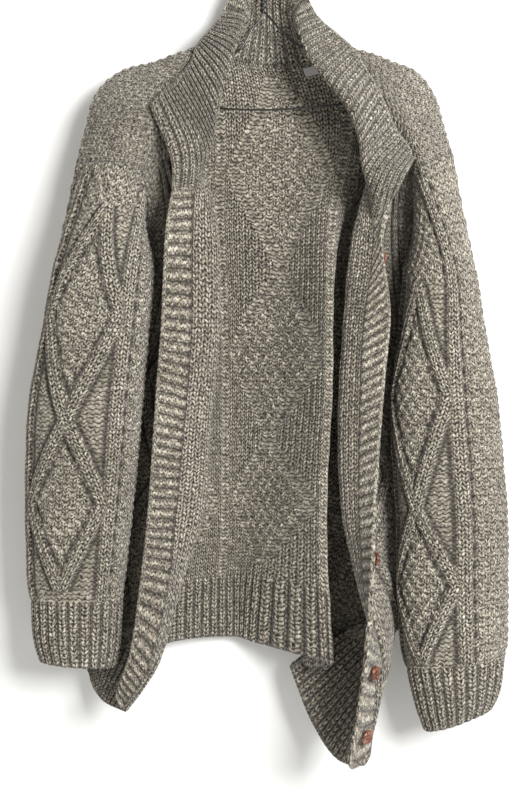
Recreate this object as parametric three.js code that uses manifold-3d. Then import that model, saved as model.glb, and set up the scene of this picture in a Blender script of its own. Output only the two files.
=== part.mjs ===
// A chunky cable knit cardigan that hangs open on a wire hanger, with both front edges turned
// outward. Millimetres, +Z up, +X to the viewer's right, -Y toward the viewer. The origin is the
// inner top of the hanger's hook. "Right" and "left" in a piece's name are the wearer's.
import Module from 'manifold-3d';
import * as THREE from 'three';

const kernel = await Module();
kernel.setup();

// Cloth
const WALL = 4; // knitted cloth without its cables
const EDGE_GAP = 0.17; // each piece stops this short of its seam line
const EDGE_SHARE = 0.4; // a piece's room reaches this share of its growth past its edges
const SEAM_ROOM = 0.28; // where folded cloth would meet, one piece is cut back by this much
const RIB_DEPTH = 1.3; // a 1x1 rib column stands out this far from the cloth's middle
const CORD_DEPTH = 3.4; // a cable cord stands out this far from the cloth
const CORD_HALF = 2; // half a straight cord, in stitches
const TRAVEL_HALF = 1.5; // half a travelling diamond line, in stitches
const HANGER_FORWARD = 27; // from the deepest part of the back to the hanger's plane

// Stitch counts and lengths down the cloth, which every panel shares
const BACK_STITCHES = 91;
const FRONT_STITCHES = 38;
const BAND_STITCHES = 6;
const SLEEVE_STITCHES = 48;
const NECK_FROM = 35; // the back neck lies between these stitches of the back
const NECK_TO = 56;
const UNDERARM = 190;
const BAND_TOP = 170;
const RIB_TOP = 645;
const HEM = 720;
const ARMPIT_DOWN = 14; // just under the armhole the sleeve draws in by this share of its width
const ARMPIT_IN = 0.3;
const FRONT_OF_ARMHOLE = 0.56; // the share of a sleeve's top that is sewn to the front
const COLLAR_COLUMNS = 120;
const BAND_COLUMNS = 96;
const TURN_DEPTH = 6; // the cloth turns round this far at a side or shoulder seam

// Levels of the body, measured down the cloth from the shoulder seam
const LEVELS = [0, 60, 100, UNDERARM, 305, 405, 515, 590, RIB_TOP, HEM];

// Each panel has a column for each stitch line that gives it its folds, and a row for each level.
// A cell is [right, forward, up]: forward is from the deepest part of the back to the viewer.
const RIGHT_SIDE = [
  [-158, 10, -480], [-204, 11, -587], [-219, 11, -706], [-219, 12, -783], [-215, 13, -815], [-207, 15, -881],
];
const LEFT_SIDE = [
  [198, 10, -480], [219, 10, -587], [219, 10, -706], [193, 12, -789], [97, 22, -837], [32, 30, -878],
];
const RIGHT_UNDERARM = [-135, 30, -361];
const LEFT_UNDERARM = [182, 30, -361];

const FRONT_RIGHT = {
  0: [[-215, 50, -290], [-164, 90, -295], [-141, 74, -301], RIGHT_UNDERARM, ...RIGHT_SIDE],
  12: [
    [-194, 37, -206], [-159, 74, -234], [-122, 74, -261], [-103, 38, -362], [-117, 20, -480],
    [-156, 17, -587], [-175, 15, -705], [-187, 17, -782], [-195, 18, -841], [-199, 21, -903],
  ],
  24: [
    [-135, 27, -169], [-119, 54, -203], [-96, 64, -253], [-72, 54, -364], [-74, 40, -481],
    [-88, 38, -586], [-111, 36, -704], [-132, 38, -785], [-155, 44, -854], [-183, 52, -913],
  ],
  33: [
    [-79, 27, -151], [-80, 44, -190], [-78, 60, -256], [-54, 76, -360], [-52, 74, -483],
    [-62, 76, -591], [-69, 76, -688], [-96, 78, -779], [-118, 80, -854], [-158, 82, -916],
  ],
  38: [
    [-58, 27, -145], [-59, 48, -197], [-67, 63, -264], [-79, 86, -342], [-81, 92, -484],
    [-89, 92, -591], [-99, 92, -698], [-108, 94, -779], [-130, 94, -864], [-160, 88, -912],
  ],
};
const FRONT_LEFT = {
  0: [[217, 50, -276], [184, 90, -297], [172, 74, -303], LEFT_UNDERARM, ...LEFT_SIDE],
  12: [
    [196, 38, -203], [166, 72, -236], [158, 72, -268], [148, 38, -362], [159, 20, -480],
    [174, 17, -587], [177, 17, -705], [172, 17, -787], [134, 30, -852], [56, 44, -936],
  ],
  24: [
    [135, 27, -159], [132, 54, -204], [140, 64, -256], [126, 54, -364], [122, 44, -481],
    [127, 42, -586], [137, 42, -703], [147, 50, -782], [145, 62, -864], [84, 66, -974],
  ],
  33: [
    [98, 27, -150], [112, 44, -194], [130, 60, -262], [104, 78, -377], [93, 76, -483],
    [87, 80, -591], [93, 88, -699], [110, 100, -775], [132, 104, -864], [111, 100, -973],
  ],
  38: [
    [84, 27, -148], [96, 48, -203], [118, 62, -266], [125, 92, -383], [113, 98, -484],
    [109, 100, -585], [108, 112, -696], [114, 120, -773], [123, 118, -859], [118, 110, -959],
  ],
};
const BACK = {
  0: [[-215, 50, -290], [-190, 8, -300], [-157, 5, -324], RIGHT_UNDERARM, ...RIGHT_SIDE],
  24: [
    [-135, 28, -169], [-125, 6, -219], [-105, 6, -264], [-97, 8, -343], [-87, 12, -458],
    [-87, 14, -556], [-93, 14, -663], [-96, 14, -733], [-101, 14, -781], [-103, 16, -849],
  ],
  38: [
    [-40, 14, -156], [-32, 3, -212], [-32, 3, -254], [-35, 3, -340], [-32, 3, -450],
    [-32, 3, -551], [-32, 3, -656], [-32, 4, -726], [-35, 5, -773], [-35, 8, -845],
  ],
  46: [
    [6, 3, -162], [26, 4, -218], [26, 6, -259], [27, 14, -344], [24, 26, -455],
    [16, 28, -551], [8, 26, -655], [4, 24, -724], [-1, 22, -773], [-7, 22, -850],
  ],
  56: [
    [84, 27, -148], [98, 10, -215], [98, 22, -260], [82, 48, -348], [76, 84, -459],
    [75, 92, -552], [70, 92, -651], [69, 90, -719], [71, 90, -780], [75, 88, -861],
  ],
  66: [
    [150, 28, -166], [158, 6, -226], [144, 8, -262], [105, 22, -345], [69, 34, -460],
    [62, 34, -556], [54, 34, -662], [50, 34, -737], [48, 36, -800], [52, 48, -873],
  ],
  78: [
    [196, 35, -202], [197, 8, -257], [173, 5, -286], [144, 8, -349], [130, 12, -469],
    [128, 10, -568], [123, 10, -680], [110, 12, -763], [74, 18, -820], [68, 14, -872],
  ],
  91: [[217, 50, -276], [215, 5, -295], [200, 5, -321], LEFT_UNDERARM, ...LEFT_SIDE],
};

// The back's top edge by stitch: shoulder seam, back neck, shoulder seam
const BACK_TOP = {
  0: [-215, 50, -290], 6: [-206, 44, -250], 12: [-195, 34, -206], 18: [-168, 27, -178],
  24: [-135, 27, -169], 30: [-98, 27, -156], 35: [-58, 27, -145], 38: [-40, 14, -156],
  42: [-18, 6, -160], 46: [6, 3, -162], 50: [38, 5, -164], 53: [64, 12, -160],
  56: [84, 27, -148], 61: [118, 27, -154], 67: [150, 27, -166], 73: [180, 27, -178],
  79: [200, 34, -208], 85: [209, 44, -245], 91: [217, 50, -276],
};

// Free edges of the two front bands
const BAND_LEVELS = [BAND_TOP, 215, 305, 370, 440, 515, 590, RIB_TOP, 690, HEM];
const BAND_RIGHT_EDGE = [
  [-103, 86, -324], [-110, 92, -372], [-115, 92, -480], [-120, 92, -545], [-125, 90, -620],
  [-131, 88, -698], [-139, 88, -770], [-149, 88, -842], [-162, 86, -882], [-168, 84, -899],
];
const BAND_LEFT_EDGE = [
  [146, 88, -334], [134, 100, -378], [143, 102, -465], [137, 105, -535], [130, 112, -610],
  [124, 126, -690], [119, 140, -770], [111, 144, -845], [100, 139, -920], [89, 124, -980],
];

// Sleeves: a row for each ring, measured down from the armhole
const SLEEVE_RIGHT = [
  { down: 110, right: -182, half: 55, forward: 64, deep: 36, up: -414, slant: 0 },
  { down: 180, right: -191, half: 58, forward: 66, deep: 34, up: -483, slant: 0 },
  { down: 260, right: -202, half: 62, forward: 66, deep: 33, up: -563, slant: 0 },
  { down: 330, right: -207, half: 61, forward: 65, deep: 32, up: -632, slant: 0 },
  { down: 400, right: -211, half: 58, forward: 63, deep: 31, up: -701, slant: 0 },
  { down: 468, right: -214, half: 53, forward: 60, deep: 29, up: -770, slant: 0 },
  { down: 490, right: -214, half: 50, forward: 59, deep: 28, up: -792, slant: 0 },
  { down: 538, right: -214, half: 47, forward: 60, deep: 25, up: -839, slant: 0 },
  { down: 566, right: -213, half: 41, forward: 60, deep: 21, up: -867, slant: 3 },
];
const SLEEVE_LEFT = [
  { down: 110, right: 204, half: 37, forward: 64, deep: 37, up: -414, slant: 0 },
  { down: 190, right: 207, half: 48, forward: 66, deep: 36, up: -498, slant: 0 },
  { down: 256, right: 209, half: 57, forward: 67, deep: 34, up: -563, slant: 0 },
  { down: 325, right: 213, half: 60, forward: 67, deep: 33, up: -632, slant: 0 },
  { down: 394, right: 218, half: 60, forward: 65, deep: 32, up: -701, slant: 0 },
  { down: 474, right: 219, half: 60, forward: 63, deep: 32, up: -781, slant: 2 },
  { down: 532, right: 221, half: 58, forward: 61, deep: 31, up: -839, slant: 4 },
  { down: 556, right: 222, half: 54, forward: 60, deep: 29, up: -863, slant: 6 },
  { down: 602, right: 225, half: 45, forward: 57, deep: 25, up: -909, slant: 9 },
  { down: 628, right: 225, half: 36, forward: 55, deep: 21, up: -932, slant: 13 },
];
const CUFF_RIGHT_TOP = 490;
const CUFF_LEFT_TOP = 556;

// Collar: a row for each place along the neck, with its roll and its free edge
const COLLAR = [
  { at: 0, roll: [-104, 96, -289], edge: [-129, 76, -227] },
  { at: 0.03, roll: [-86, 100, -279], edge: [-116, 70, -210] },
  { at: 0.1, roll: [-63, 94, -273], edge: [-102, 66, -197] },
  { at: 0.189, roll: [-55, 88, -238], edge: [-85, 50, -171] },
  { at: 0.242, roll: [-47, 78, -199], edge: [-77, 42, -149] },
  { at: 0.323, roll: [-33, 66, -157], edge: [-65, 38, -133] },
  { at: 0.407, roll: [-23, 42, -122], edge: [-49, 20, -108] },
  { at: 0.443, roll: [-18, 16, -100], edge: [-27, 28, -66] },
  { at: 0.505, roll: [6, 0, -100], edge: [6, 8, -43] },
  { at: 0.554, roll: [32, 14, -102], edge: [41, 28, -66] },
  { at: 0.58, roll: [41, 42, -127], edge: [62, 26, -108] },
  { at: 0.634, roll: [52, 66, -164], edge: [87, 42, -136] },
  { at: 0.716, roll: [74, 82, -198], edge: [106, 50, -157] },
  { at: 0.772, roll: [96, 92, -227], edge: [121, 60, -185] },
  { at: 0.817, roll: [110, 100, -263], edge: [136, 70, -215] },
  { at: 0.884, roll: [116, 108, -301], edge: [152, 80, -256] },
  { at: 0.95, roll: [137, 112, -316], edge: [165, 88, -276] },
  { at: 1, roll: [157, 110, -316], edge: [169, 92, -295] },
];
const ROLL_AT = 0.5; // the roll's share of the collar's height
// Where the neck line passes from the band to the front, to the back and on to the other side
const NECK_STOPS = [0, 0.05, 0.4, 0.6, 0.95, 1];

// Cable charts: stitch numbers of cords, and the diamonds' crossings down the cloth
const BACK_CORDS = [14, 35, 56, 77];
const BACK_DIAMONDS = [24.5, 45.5, 66.5];
const BODY_CROSSINGS = [14, 255, 465, 625];
const FRONT_CORDS = [10, 31];
const FRONT_DIAMOND = 20.5;
const DIAMOND_HALF = 8;
const SLEEVE_DIAMOND_HALF = 6.2;
const SLEEVE_CORD_REACH = 7.2;
const SLEEVE_RIGHT_CENTRE = 0.205; // shares of the sleeve's girth
const SLEEVE_LEFT_CENTRE = 0.38;
const SLEEVE_RIGHT_CROSSINGS = [45, 282, 478];
const SLEEVE_LEFT_CROSSINGS = [125, 378, 552];

// Hanger, label and buttons
const WIRE = 2.4;
const HOOK_RADIUS = 20; // inside; the hook's end is left open on the viewer's left
const HOOK_FROM = 200; // degrees round the hook's centre
const HOOK_TO = -28;
// The neck, from the hook down to the twist: [right, up]
const HANGER_NECK = [
  [14.5, -37.5], [8, -46.5], [3, -56], [0.5, -65], [0, -74], [0, -83], [0, -92], [0, -101], [0, -110],
];
const TWIST_RADIUS = 2.75;
const TWIST_TURNS = 5;
const TWIST_BOTTOM = -107;
const TWIST_TOP = -74;
const UNDER_SEAM = WALL / 2 + WIRE / 2 + 1.6; // the arms carry the shoulder seams from below
// The rest of the triangle, from the neck round to the twisted end: [right, up]
const ARM_FROM_NECK = [[-4, -116], [-12, -125], [-20, -140], [-28, -151], [-40, -153]];
const TIPS_AND_BAR = [
  [-170, -190], [-172, -194.5], [-171, -199], [-166, -203], [-158, -206], [-121, -213], [-59, -219],
  [8, -221], [99, -214], [160, -206.5], [169, -204], [176, -200], [178, -196], [178, -191],
];
const ARM_TO_NECK = [[76, -154], [62, -154.5], [48, -149], [34, -139], [22, -128], [12, -117], [5, -109.5]];
const BUTTON_DIAMETER = 17;
const BUTTON_THICK = 4.5;
const BUTTON_DOWN = [232, 350, 458, 565, 648, 702];
const BUTTON_AT = 3; // stitches from the band seam
const BUTTON_SHANK = 2.2;
const LABEL = { width: 20, height: 13, thick: 0.6 };

const wool = new THREE.MeshStandardMaterial({ color: 0x8b8073, roughness: 0.95 });
const buttonFinish = new THREE.MeshStandardMaterial({ color: 0x7d3b20, roughness: 0.35 });
const steel = new THREE.MeshStandardMaterial({ color: 0xa9abad, roughness: 0.3, metalness: 1 });
const labelCloth = new THREE.MeshStandardMaterial({ color: 0xb9b7b3, roughness: 0.85 });

const steps = (from, to, count) =>
  Array.from({ length: count + 1 }, (_, k) => from + ((to - from) * k) / count);

// Rows of the body panels, down the cloth: the same ones on every panel, so that their seams fit
const BODY_DOWNS = [
  0, 5, 14, 45, 75, 105, 134.5, 162, UNDERARM, 212, 255, 307, 360, 412, 465, 545, 585, 625, RIB_TOP,
];
const RIB_DOWNS = [RIB_TOP + 6, HEM];
const BODY_ROWS = [...BODY_DOWNS, ...RIB_DOWNS];
const SHOULDER_STEPS = 12;

const place = (cell) => new THREE.Vector3(cell[0], HANGER_FORWARD - cell[1], cell[2]);

// A smooth line through places at increasing knots, with slopes taken from the neighbours.
function through(knots, places, t) {
  const last = knots.length - 1;
  let i = 0;
  while (i < last - 1 && t > knots[i + 1]) i += 1;
  const width = knots[i + 1] - knots[i];
  const s = THREE.MathUtils.clamp((t - knots[i]) / width, 0, 1);
  const slope = (k) => {
    const a = Math.max(k - 1, 0);
    const b = Math.min(k + 1, last);
    return places[b].clone().sub(places[a]).divideScalar(knots[b] - knots[a]);
  };
  const s2 = s * s;
  const s3 = s2 * s;
  return places[i]
    .clone()
    .multiplyScalar(2 * s3 - 3 * s2 + 1)
    .addScaledVector(places[i + 1], 3 * s2 - 2 * s3)
    .addScaledVector(slope(i), (s3 - 2 * s2 + s) * width)
    .addScaledVector(slope(i + 1), (s3 - s2) * width);
}

const tableLine = (table) => {
  const knots = Object.keys(table).map(Number);
  const places = Object.values(table).map(place);
  return (t) => through(knots, places, t);
};
const levelLine = (levels, cells) => {
  const places = cells.map(place);
  return (t) => through(levels, places, t);
};
const backTop = tableLine(BACK_TOP);

// A side line of a panel: the armhole down to the underarm, then the side seam the panels share.
function sideLine(cells) {
  const bend = LEVELS.indexOf(UNDERARM);
  const armhole = levelLine(LEVELS.slice(0, bend + 1), cells.slice(0, bend + 1));
  const seam = levelLine(LEVELS.slice(bend), cells.slice(bend));
  return (down) => (down < UNDERARM ? armhole(down) : seam(down));
}

// How far the cloth has turned round a seam at a distance from it: a quarter circle, then level.
function turned(distance, reach, level) {
  const share = 1 - Math.min(distance / reach, 1);
  return Math.sqrt(1 - share * share) * (1 - THREE.MathUtils.smoothstep(distance, level, 2.6 * level));
}

// A panel's middle surface from its stitch lines. Its top row is drawn onto the seam line, and it
// leaves its shoulder and side seams the way it faces: 1 toward the viewer, -1 toward the wall.
function panelSurface(table, top, way, sides) {
  const stitches = Object.keys(table).map(Number);
  const lines = Object.entries(table).map(([stitch, cells]) =>
    sides.includes(Number(stitch)) ? sideLine(cells) : levelLine(LEVELS, cells));
  const base = (stitch, down) => through(stitches, lines.map((line) => line(down)), stitch);
  const shoulder = (stitch) =>
    way > 0 || stitch < NECK_FROM || stitch > NECK_TO ? 1 : 0.35;
  return (stitch, down) => {
    const p = base(stitch, down);
    const near = Math.max(0, 1 - down / LEVELS[1]) ** 2;
    if (near > 0) p.add(top(stitch).sub(base(stitch, 0)).multiplyScalar(near));
    const fromSide = Math.min(...sides.map((side) => Math.abs(stitch - side)));
    const below = THREE.MathUtils.smoothstep(down, UNDERARM - 25, UNDERARM + 5);
    const bulge = below * turned(fromSide, 1, 8) + shoulder(stitch) * turned(down, 6, 20);
    p.y -= way * TURN_DEPTH * bulge;
    return p;
  };
}

// A straight stretch between the rows of a body panel, so that what is sewn on meets its facets.
function betweenRows(down, at) {
  const k = Math.max(1, BODY_ROWS.findIndex((row) => row >= down));
  const share = (down - BODY_ROWS[k - 1]) / (BODY_ROWS[k] - BODY_ROWS[k - 1]);
  return at(BODY_ROWS[k - 1]).lerp(at(BODY_ROWS[k]), share);
}

function bandSurface(panel, cells) {
  const edge = levelLine(BAND_LEVELS, cells);
  return (stitch, down) =>
    betweenRows(down, (row) => panel(FRONT_STITCHES, row)).lerp(edge(down), stitch / BAND_STITCHES);
}

// A sleeve's middle surface: around runs 0 to 1 from its outer side over the front.
function sleeveSurface(rings, armhole, side) {
  const knots = [0, ...rings.map((ring) => ring.down)];
  const onRing = (ring, around) => {
    const turn = 2 * Math.PI * around;
    const out = Math.cos(turn);
    return place([
      ring.right + side * ring.half * out,
      ring.forward + ring.deep * Math.sin(turn),
      ring.up + ring.slant * out,
    ]);
  };
  const middleOfHole = armhole(0).add(armhole(0.25)).add(armhole(0.5)).add(armhole(0.75)).divideScalar(4);
  knots.splice(1, 0, ARMPIT_DOWN);
  return (around, down) => {
    const share = THREE.MathUtils.euclideanModulo(around, 1);
    const top = armhole(share);
    const pit = Math.max(0, Math.cos(2 * Math.PI * (share - FRONT_OF_ARMHOLE))) ** 2;
    const first = top.clone().lerp(onRing(rings[0], share), ARMPIT_DOWN / rings[0].down);
    first.lerp(middleOfHole.clone().setZ(first.z), ARMPIT_IN * pit);
    return through(knots, [top, first, ...rings.map((ring) => onRing(ring, share))], down);
  };
}

function armholeLine(front, back, backStitch) {
  return (around) =>
    around < FRONT_OF_ARMHOLE
      ? front(0, (around / FRONT_OF_ARMHOLE) * UNDERARM)
      : back(backStitch, ((1 - around) / (1 - FRONT_OF_ARMHOLE)) * UNDERARM);
}

// The piece and its own (u, v) at a place along the neck line.
function onNeck(at) {
  const stop = NECK_STOPS;
  const share = (i) => (at - stop[i]) / (stop[i + 1] - stop[i]);
  if (at < stop[1]) return ['band_right', BAND_STITCHES * (1 - share(0)), BAND_TOP];
  if (at < stop[2]) return ['front_right', FRONT_STITCHES, BAND_TOP * (1 - share(1))];
  if (at < stop[3]) return ['back', NECK_FROM + (NECK_TO - NECK_FROM) * share(2), 0];
  if (at < stop[4]) return ['front_left', FRONT_STITCHES, BAND_TOP * share(3)];
  return ['band_left', BAND_STITCHES * share(4), BAND_TOP];
}

const shoulderShare = NECK_FROM / FRONT_STITCHES;
const middle = {};
const topRight = (stitch) => backTop(stitch * shoulderShare);
const topLeft = (stitch) => backTop(BACK_STITCHES - stitch * shoulderShare);
middle.back = panelSurface(BACK, backTop, -1, [0, BACK_STITCHES]);
middle.front_right = panelSurface(FRONT_RIGHT, topRight, 1, [0]);
middle.front_left = panelSurface(FRONT_LEFT, topLeft, 1, [0]);
middle.band_right = bandSurface(middle.front_right, BAND_RIGHT_EDGE);
middle.band_left = bandSurface(middle.front_left, BAND_LEFT_EDGE);
middle.sleeve_right = sleeveSurface(SLEEVE_RIGHT, armholeLine(middle.front_right, middle.back, 0), -1);
middle.sleeve_left = sleeveSurface(
  SLEEVE_LEFT, armholeLine(middle.front_left, middle.back, BACK_STITCHES), 1);
middle.collar = (at, height) => {
  const [piece, u, v] = onNeck(at);
  const knots = COLLAR.map((row) => row.at);
  const roll = through(knots, COLLAR.map((row) => place(row.roll)), at);
  const edge = through(knots, COLLAR.map((row) => place(row.edge)), at);
  const isFront = piece.startsWith('front');
  const foot = isFront ? betweenRows(v, (row) => middle[piece](u, row)) : middle[piece](u, v);
  return through([0, ROLL_AT, 1], [foot, roll, edge], height);
};

// Which way each surface's outer side faces, and how far its (u, v) reach
const FACING = {
  back: 1, front_right: -1, front_left: 1, band_right: -1, band_left: 1,
  sleeve_right: -1, sleeve_left: 1, collar: -1,
};
const REACH = {
  back: [0, BACK_STITCHES, 0, HEM],
  front_right: [0, FRONT_STITCHES, 0, HEM],
  front_left: [0, FRONT_STITCHES, 0, HEM],
  band_right: [0, BAND_STITCHES, BAND_TOP, HEM],
  band_left: [0, BAND_STITCHES, BAND_TOP, HEM],
  sleeve_right: [-1, 2, 0, SLEEVE_RIGHT.at(-1).down],
  sleeve_left: [-1, 2, 0, SLEEVE_LEFT.at(-1).down],
  collar: [0, 1, 0, 1],
};

// The unit outward direction of a surface, and its two directions along it.
function frameAt(piece, u, v) {
  const [u0, u1, v0, v1] = REACH[piece];
  const du = (u1 - u0) * 2e-3;
  const dv = (v1 - v0) * 2e-3;
  const surface = middle[piece];
  const along = surface(Math.min(u + du, u1), v).sub(surface(Math.max(u - du, u0), v)).normalize();
  const down = surface(u, Math.min(v + dv, v1)).sub(surface(u, Math.max(v - dv, v0))).normalize();
  const out = along.clone().cross(down).normalize().multiplyScalar(FACING[piece]);
  return { along, down, out };
}

// The piece sewn on at an edge, with its own (u, v) there.
function sewnTo(piece, u, v) {
  const side = piece.endsWith('right') ? 'right' : 'left';
  const backStitch = side === 'right' ? 0 : BACK_STITCHES;
  if (piece.startsWith('sleeve')) {
    if (v > 0) return null;
    const share = THREE.MathUtils.euclideanModulo(u, 1);
    return share < FRONT_OF_ARMHOLE
      ? ['front_' + side, 0, (share / FRONT_OF_ARMHOLE) * UNDERARM]
      : ['back', backStitch, ((1 - share) / (1 - FRONT_OF_ARMHOLE)) * UNDERARM];
  }
  if (piece.startsWith('front')) {
    if (v === 0) return ['back', Math.abs(backStitch - u * shoulderShare), 0];
    if (u === 0 && v < UNDERARM) return ['sleeve_' + side, (FRONT_OF_ARMHOLE * v) / UNDERARM, 0];
    if (u === 0) return ['back', backStitch, v];
    if (u < FRONT_STITCHES) return null;
    if (v >= BAND_TOP) return ['band_' + side, 0, v];
    const share = v / BAND_TOP;
    const [, a, b, c, d] = NECK_STOPS;
    return ['collar', side === 'right' ? b + (a - b) * share : c + (d - c) * share, 0];
  }
  if (piece.startsWith('band')) {
    if (u === 0) return ['front_' + side, FRONT_STITCHES, v];
    if (v > BAND_TOP) return null;
    const share = u / BAND_STITCHES;
    const [start, a, , , d, end] = NECK_STOPS;
    return ['collar', side === 'right' ? a + (start - a) * share : d + (end - d) * share, 0];
  }
  if (piece === 'collar') return v === 0 ? onNeck(u) : null;
  if (v === 0) {
    if (u <= NECK_FROM) return ['front_right', u / shoulderShare, 0];
    if (u >= NECK_TO) return ['front_left', (BACK_STITCHES - u) / shoulderShare, 0];
    const [, , b, c] = NECK_STOPS;
    return ['collar', b + ((c - b) * (u - NECK_FROM)) / (NECK_TO - NECK_FROM), 0];
  }
  if (u > 0 && u < BACK_STITCHES) return null;
  const of = u === 0 ? 'right' : 'left';
  if (v >= UNDERARM) return ['front_' + of, 0, v];
  return ['sleeve_' + of, 1 - ((1 - FRONT_OF_ARMHOLE) * v) / UNDERARM, 0];
}

// The direction of the wall's thickness, mitred with the neighbour at a seam.
function throughWall(piece, u, v) {
  const own = frameAt(piece, u, v).out;
  const neighbour = sewnTo(piece, u, v);
  if (!neighbour) return own;
  const both = own.clone().add(frameAt(...neighbour).out);
  const half = Math.max(both.length() / 2, 0.62);
  return both.normalize().divideScalar(half);
}

// How far a place is drawn back from the seam it lies on.
function drawnBack(piece, u, v, grown = 0) {
  const [u0, u1, v0, v1] = REACH[piece];
  const { along, down } = frameAt(piece, u, v);
  const shift = new THREE.Vector3();
  if (u === u0) shift.add(along);
  if (u === u1) shift.sub(along);
  if (v === v0) shift.add(down);
  if (v === v1) shift.sub(down);
  return shift.multiplyScalar(EDGE_GAP - EDGE_SHARE * grown);
}

// Triangles between two rows of points, each row in the order of its keys.
function zip(upper, lower, faces) {
  let i = 0;
  let j = 0;
  const more = (row, k) => k < row.index.length - 1;
  while (more(upper, i) || more(lower, j)) {
    const stepUpper = !more(lower, j) || (more(upper, i) && upper.keys[i + 1] <= lower.keys[j + 1]);
    if (stepUpper) {
      faces.push([upper.index[i], lower.index[j], upper.index[i + 1]]);
      i += 1;
    } else {
      faces.push([upper.index[i], lower.index[j], lower.index[j + 1]]);
      j += 1;
    }
  }
}

// A closed wall from rows of its outer and inner side. The rows' last point is their first on a tube.
function wall(outerRows, innerRows, outerAt, innerAt, isTube) {
  const points = [];
  const faces = [];
  const lay = (rows, at) =>
    rows.map(({ v, keys }) => {
      const index = keys.map((u, k) => {
        if (isTube && k === keys.length - 1) return points.length - keys.length + 1;
        return points.push(at(u, v)) - 1;
      });
      return { keys, index, v };
    });
  const outer = lay(outerRows, outerAt);
  const inner = lay(innerRows, innerAt);
  for (let k = 0; k + 1 < outer.length; k += 1) zip(outer[k], outer[k + 1], faces);
  const within = [];
  for (let k = 0; k + 1 < inner.length; k += 1) zip(inner[k], inner[k + 1], within);
  within.forEach(([a, b, c]) => faces.push([a, c, b]));
  zip(inner[0], outer[0], faces);
  zip(outer.at(-1), inner.at(-1), faces);
  if (!isTube) {
    const column = (rows, end) => ({ keys: rows.map((r) => r.v), index: rows.map((r) => r.index.at(end)) });
    zip(column(outer, 0), column(inner, 0), faces);
    zip(column(inner, -1), column(outer, -1), faces);
  }
  return solid(points, faces);
}

function solid(points, faces) {
  const volume = faces.reduce(
    (sum, [a, b, c]) => sum + points[a].dot(points[b].clone().cross(points[c])), 0);
  const turned = volume < 0 ? faces.map(([a, b, c]) => [a, c, b]) : faces;
  const geometry = new THREE.BufferGeometry();
  geometry.setAttribute('position', new THREE.Float32BufferAttribute(points.flatMap((p) => p.toArray()), 3));
  geometry.setIndex(turned.flat());
  geometry.computeVertexNormals();
  return geometry;
}

function toManifold(geometry) {
  return new kernel.Manifold(new kernel.Mesh({
    numProp: 3,
    vertProperties: Float32Array.from(geometry.getAttribute('position').array),
    triVerts: Uint32Array.from(geometry.index.array),
  }));
}

// A piece with its neighbours' room taken out of it; only its largest body stays.
function cutClear(geometry, neighbours) {
  const bodies = neighbours
    .reduce((rest, other) => rest.subtract(toManifold(other)), toManifold(geometry))
    .decompose()
    .sort((a, b) => b.volume() - a.volume());
  const mesh = bodies[0].setTolerance(0.004).simplify(0.004).getMesh();
  const cut = new THREE.BufferGeometry();
  cut.setAttribute('position', new THREE.Float32BufferAttribute(mesh.vertProperties, 3));
  cut.setIndex([...mesh.triVerts]);
  cut.computeVertexNormals();
  return cut;
}

// Relief of the cloth's outer side

const bump = (distance, half) =>
  Math.abs(distance) < half ? Math.cos((Math.PI * distance) / (2 * half)) : 0;

// Where a diamond's line lies beside its middle at a length down the cloth.
function travel(crossings, half, down) {
  if (down <= crossings[0] || down >= crossings.at(-1)) return 0;
  const k = crossings.findIndex((c) => down < c) - 1;
  const share = (down - crossings[k]) / (crossings[k + 1] - crossings[k]);
  return half * (1 - Math.abs(1 - 2 * share));
}

function cableHeight(chart, stitch, down) {
  if (down < chart.from || down > chart.to) return 0;
  const fade = Math.min(1, (down - chart.from) / 12, (chart.to - down) / 12);
  const cords = chart.cords.map((c) => bump(stitch - c, CORD_HALF));
  const within = down > chart.crossings[0] && down < chart.crossings.at(-1);
  const reach = travel(chart.crossings, chart.half, down);
  const lines = within
    ? chart.diamonds.flatMap((c) => [c - reach, c + reach].map((at) => bump(stitch - at, TRAVEL_HALF)))
    : [];
  return CORD_DEPTH * fade * Math.max(0, ...cords, ...lines);
}

const SIDE_TURN = [0.3, 1, 2.5]; // extra stitches where a panel turns round its side seam
const LABEL_STITCHES = [50, 51, 52, 53, 54, 55];

const ribWave = (column) => (Math.round(column) % 2 === 0 ? RIB_DEPTH : -RIB_DEPTH);

const tidy = (list, apart) =>
  [...list].sort((a, b) => a - b).filter((value, k, all) => k === 0 || value - all[k - 1] > apart);

// Stitches at which an outer row above the rib needs points: its cords and diamond lines.
function cableKeys(chart, first, last, down, plain) {
  const marks = chart.cords.flatMap((c) => [c - CORD_HALF, c, c + CORD_HALF]);
  const reach = travel(chart.crossings, chart.half, down);
  const inside = down > chart.crossings[0] && down < chart.crossings.at(-1);
  if (inside) {
    chart.diamonds.forEach((c) => {
      marks.push(c - reach - TRAVEL_HALF, c - reach, c + reach, c + reach + TRAVEL_HALF);
      if (reach > TRAVEL_HALF) marks.push(c - reach + TRAVEL_HALF, c + reach - TRAVEL_HALF);
    });
  }
  const used = tidy(marks.filter((m) => m > first + 0.4 && m < last - 0.4), 0.35);
  const fill = plain.filter((p) => p > first && p < last && used.every((m) => Math.abs(m - p) > 1.6));
  return tidy([first, last, ...used, ...fill], 0.1);
}

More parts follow.
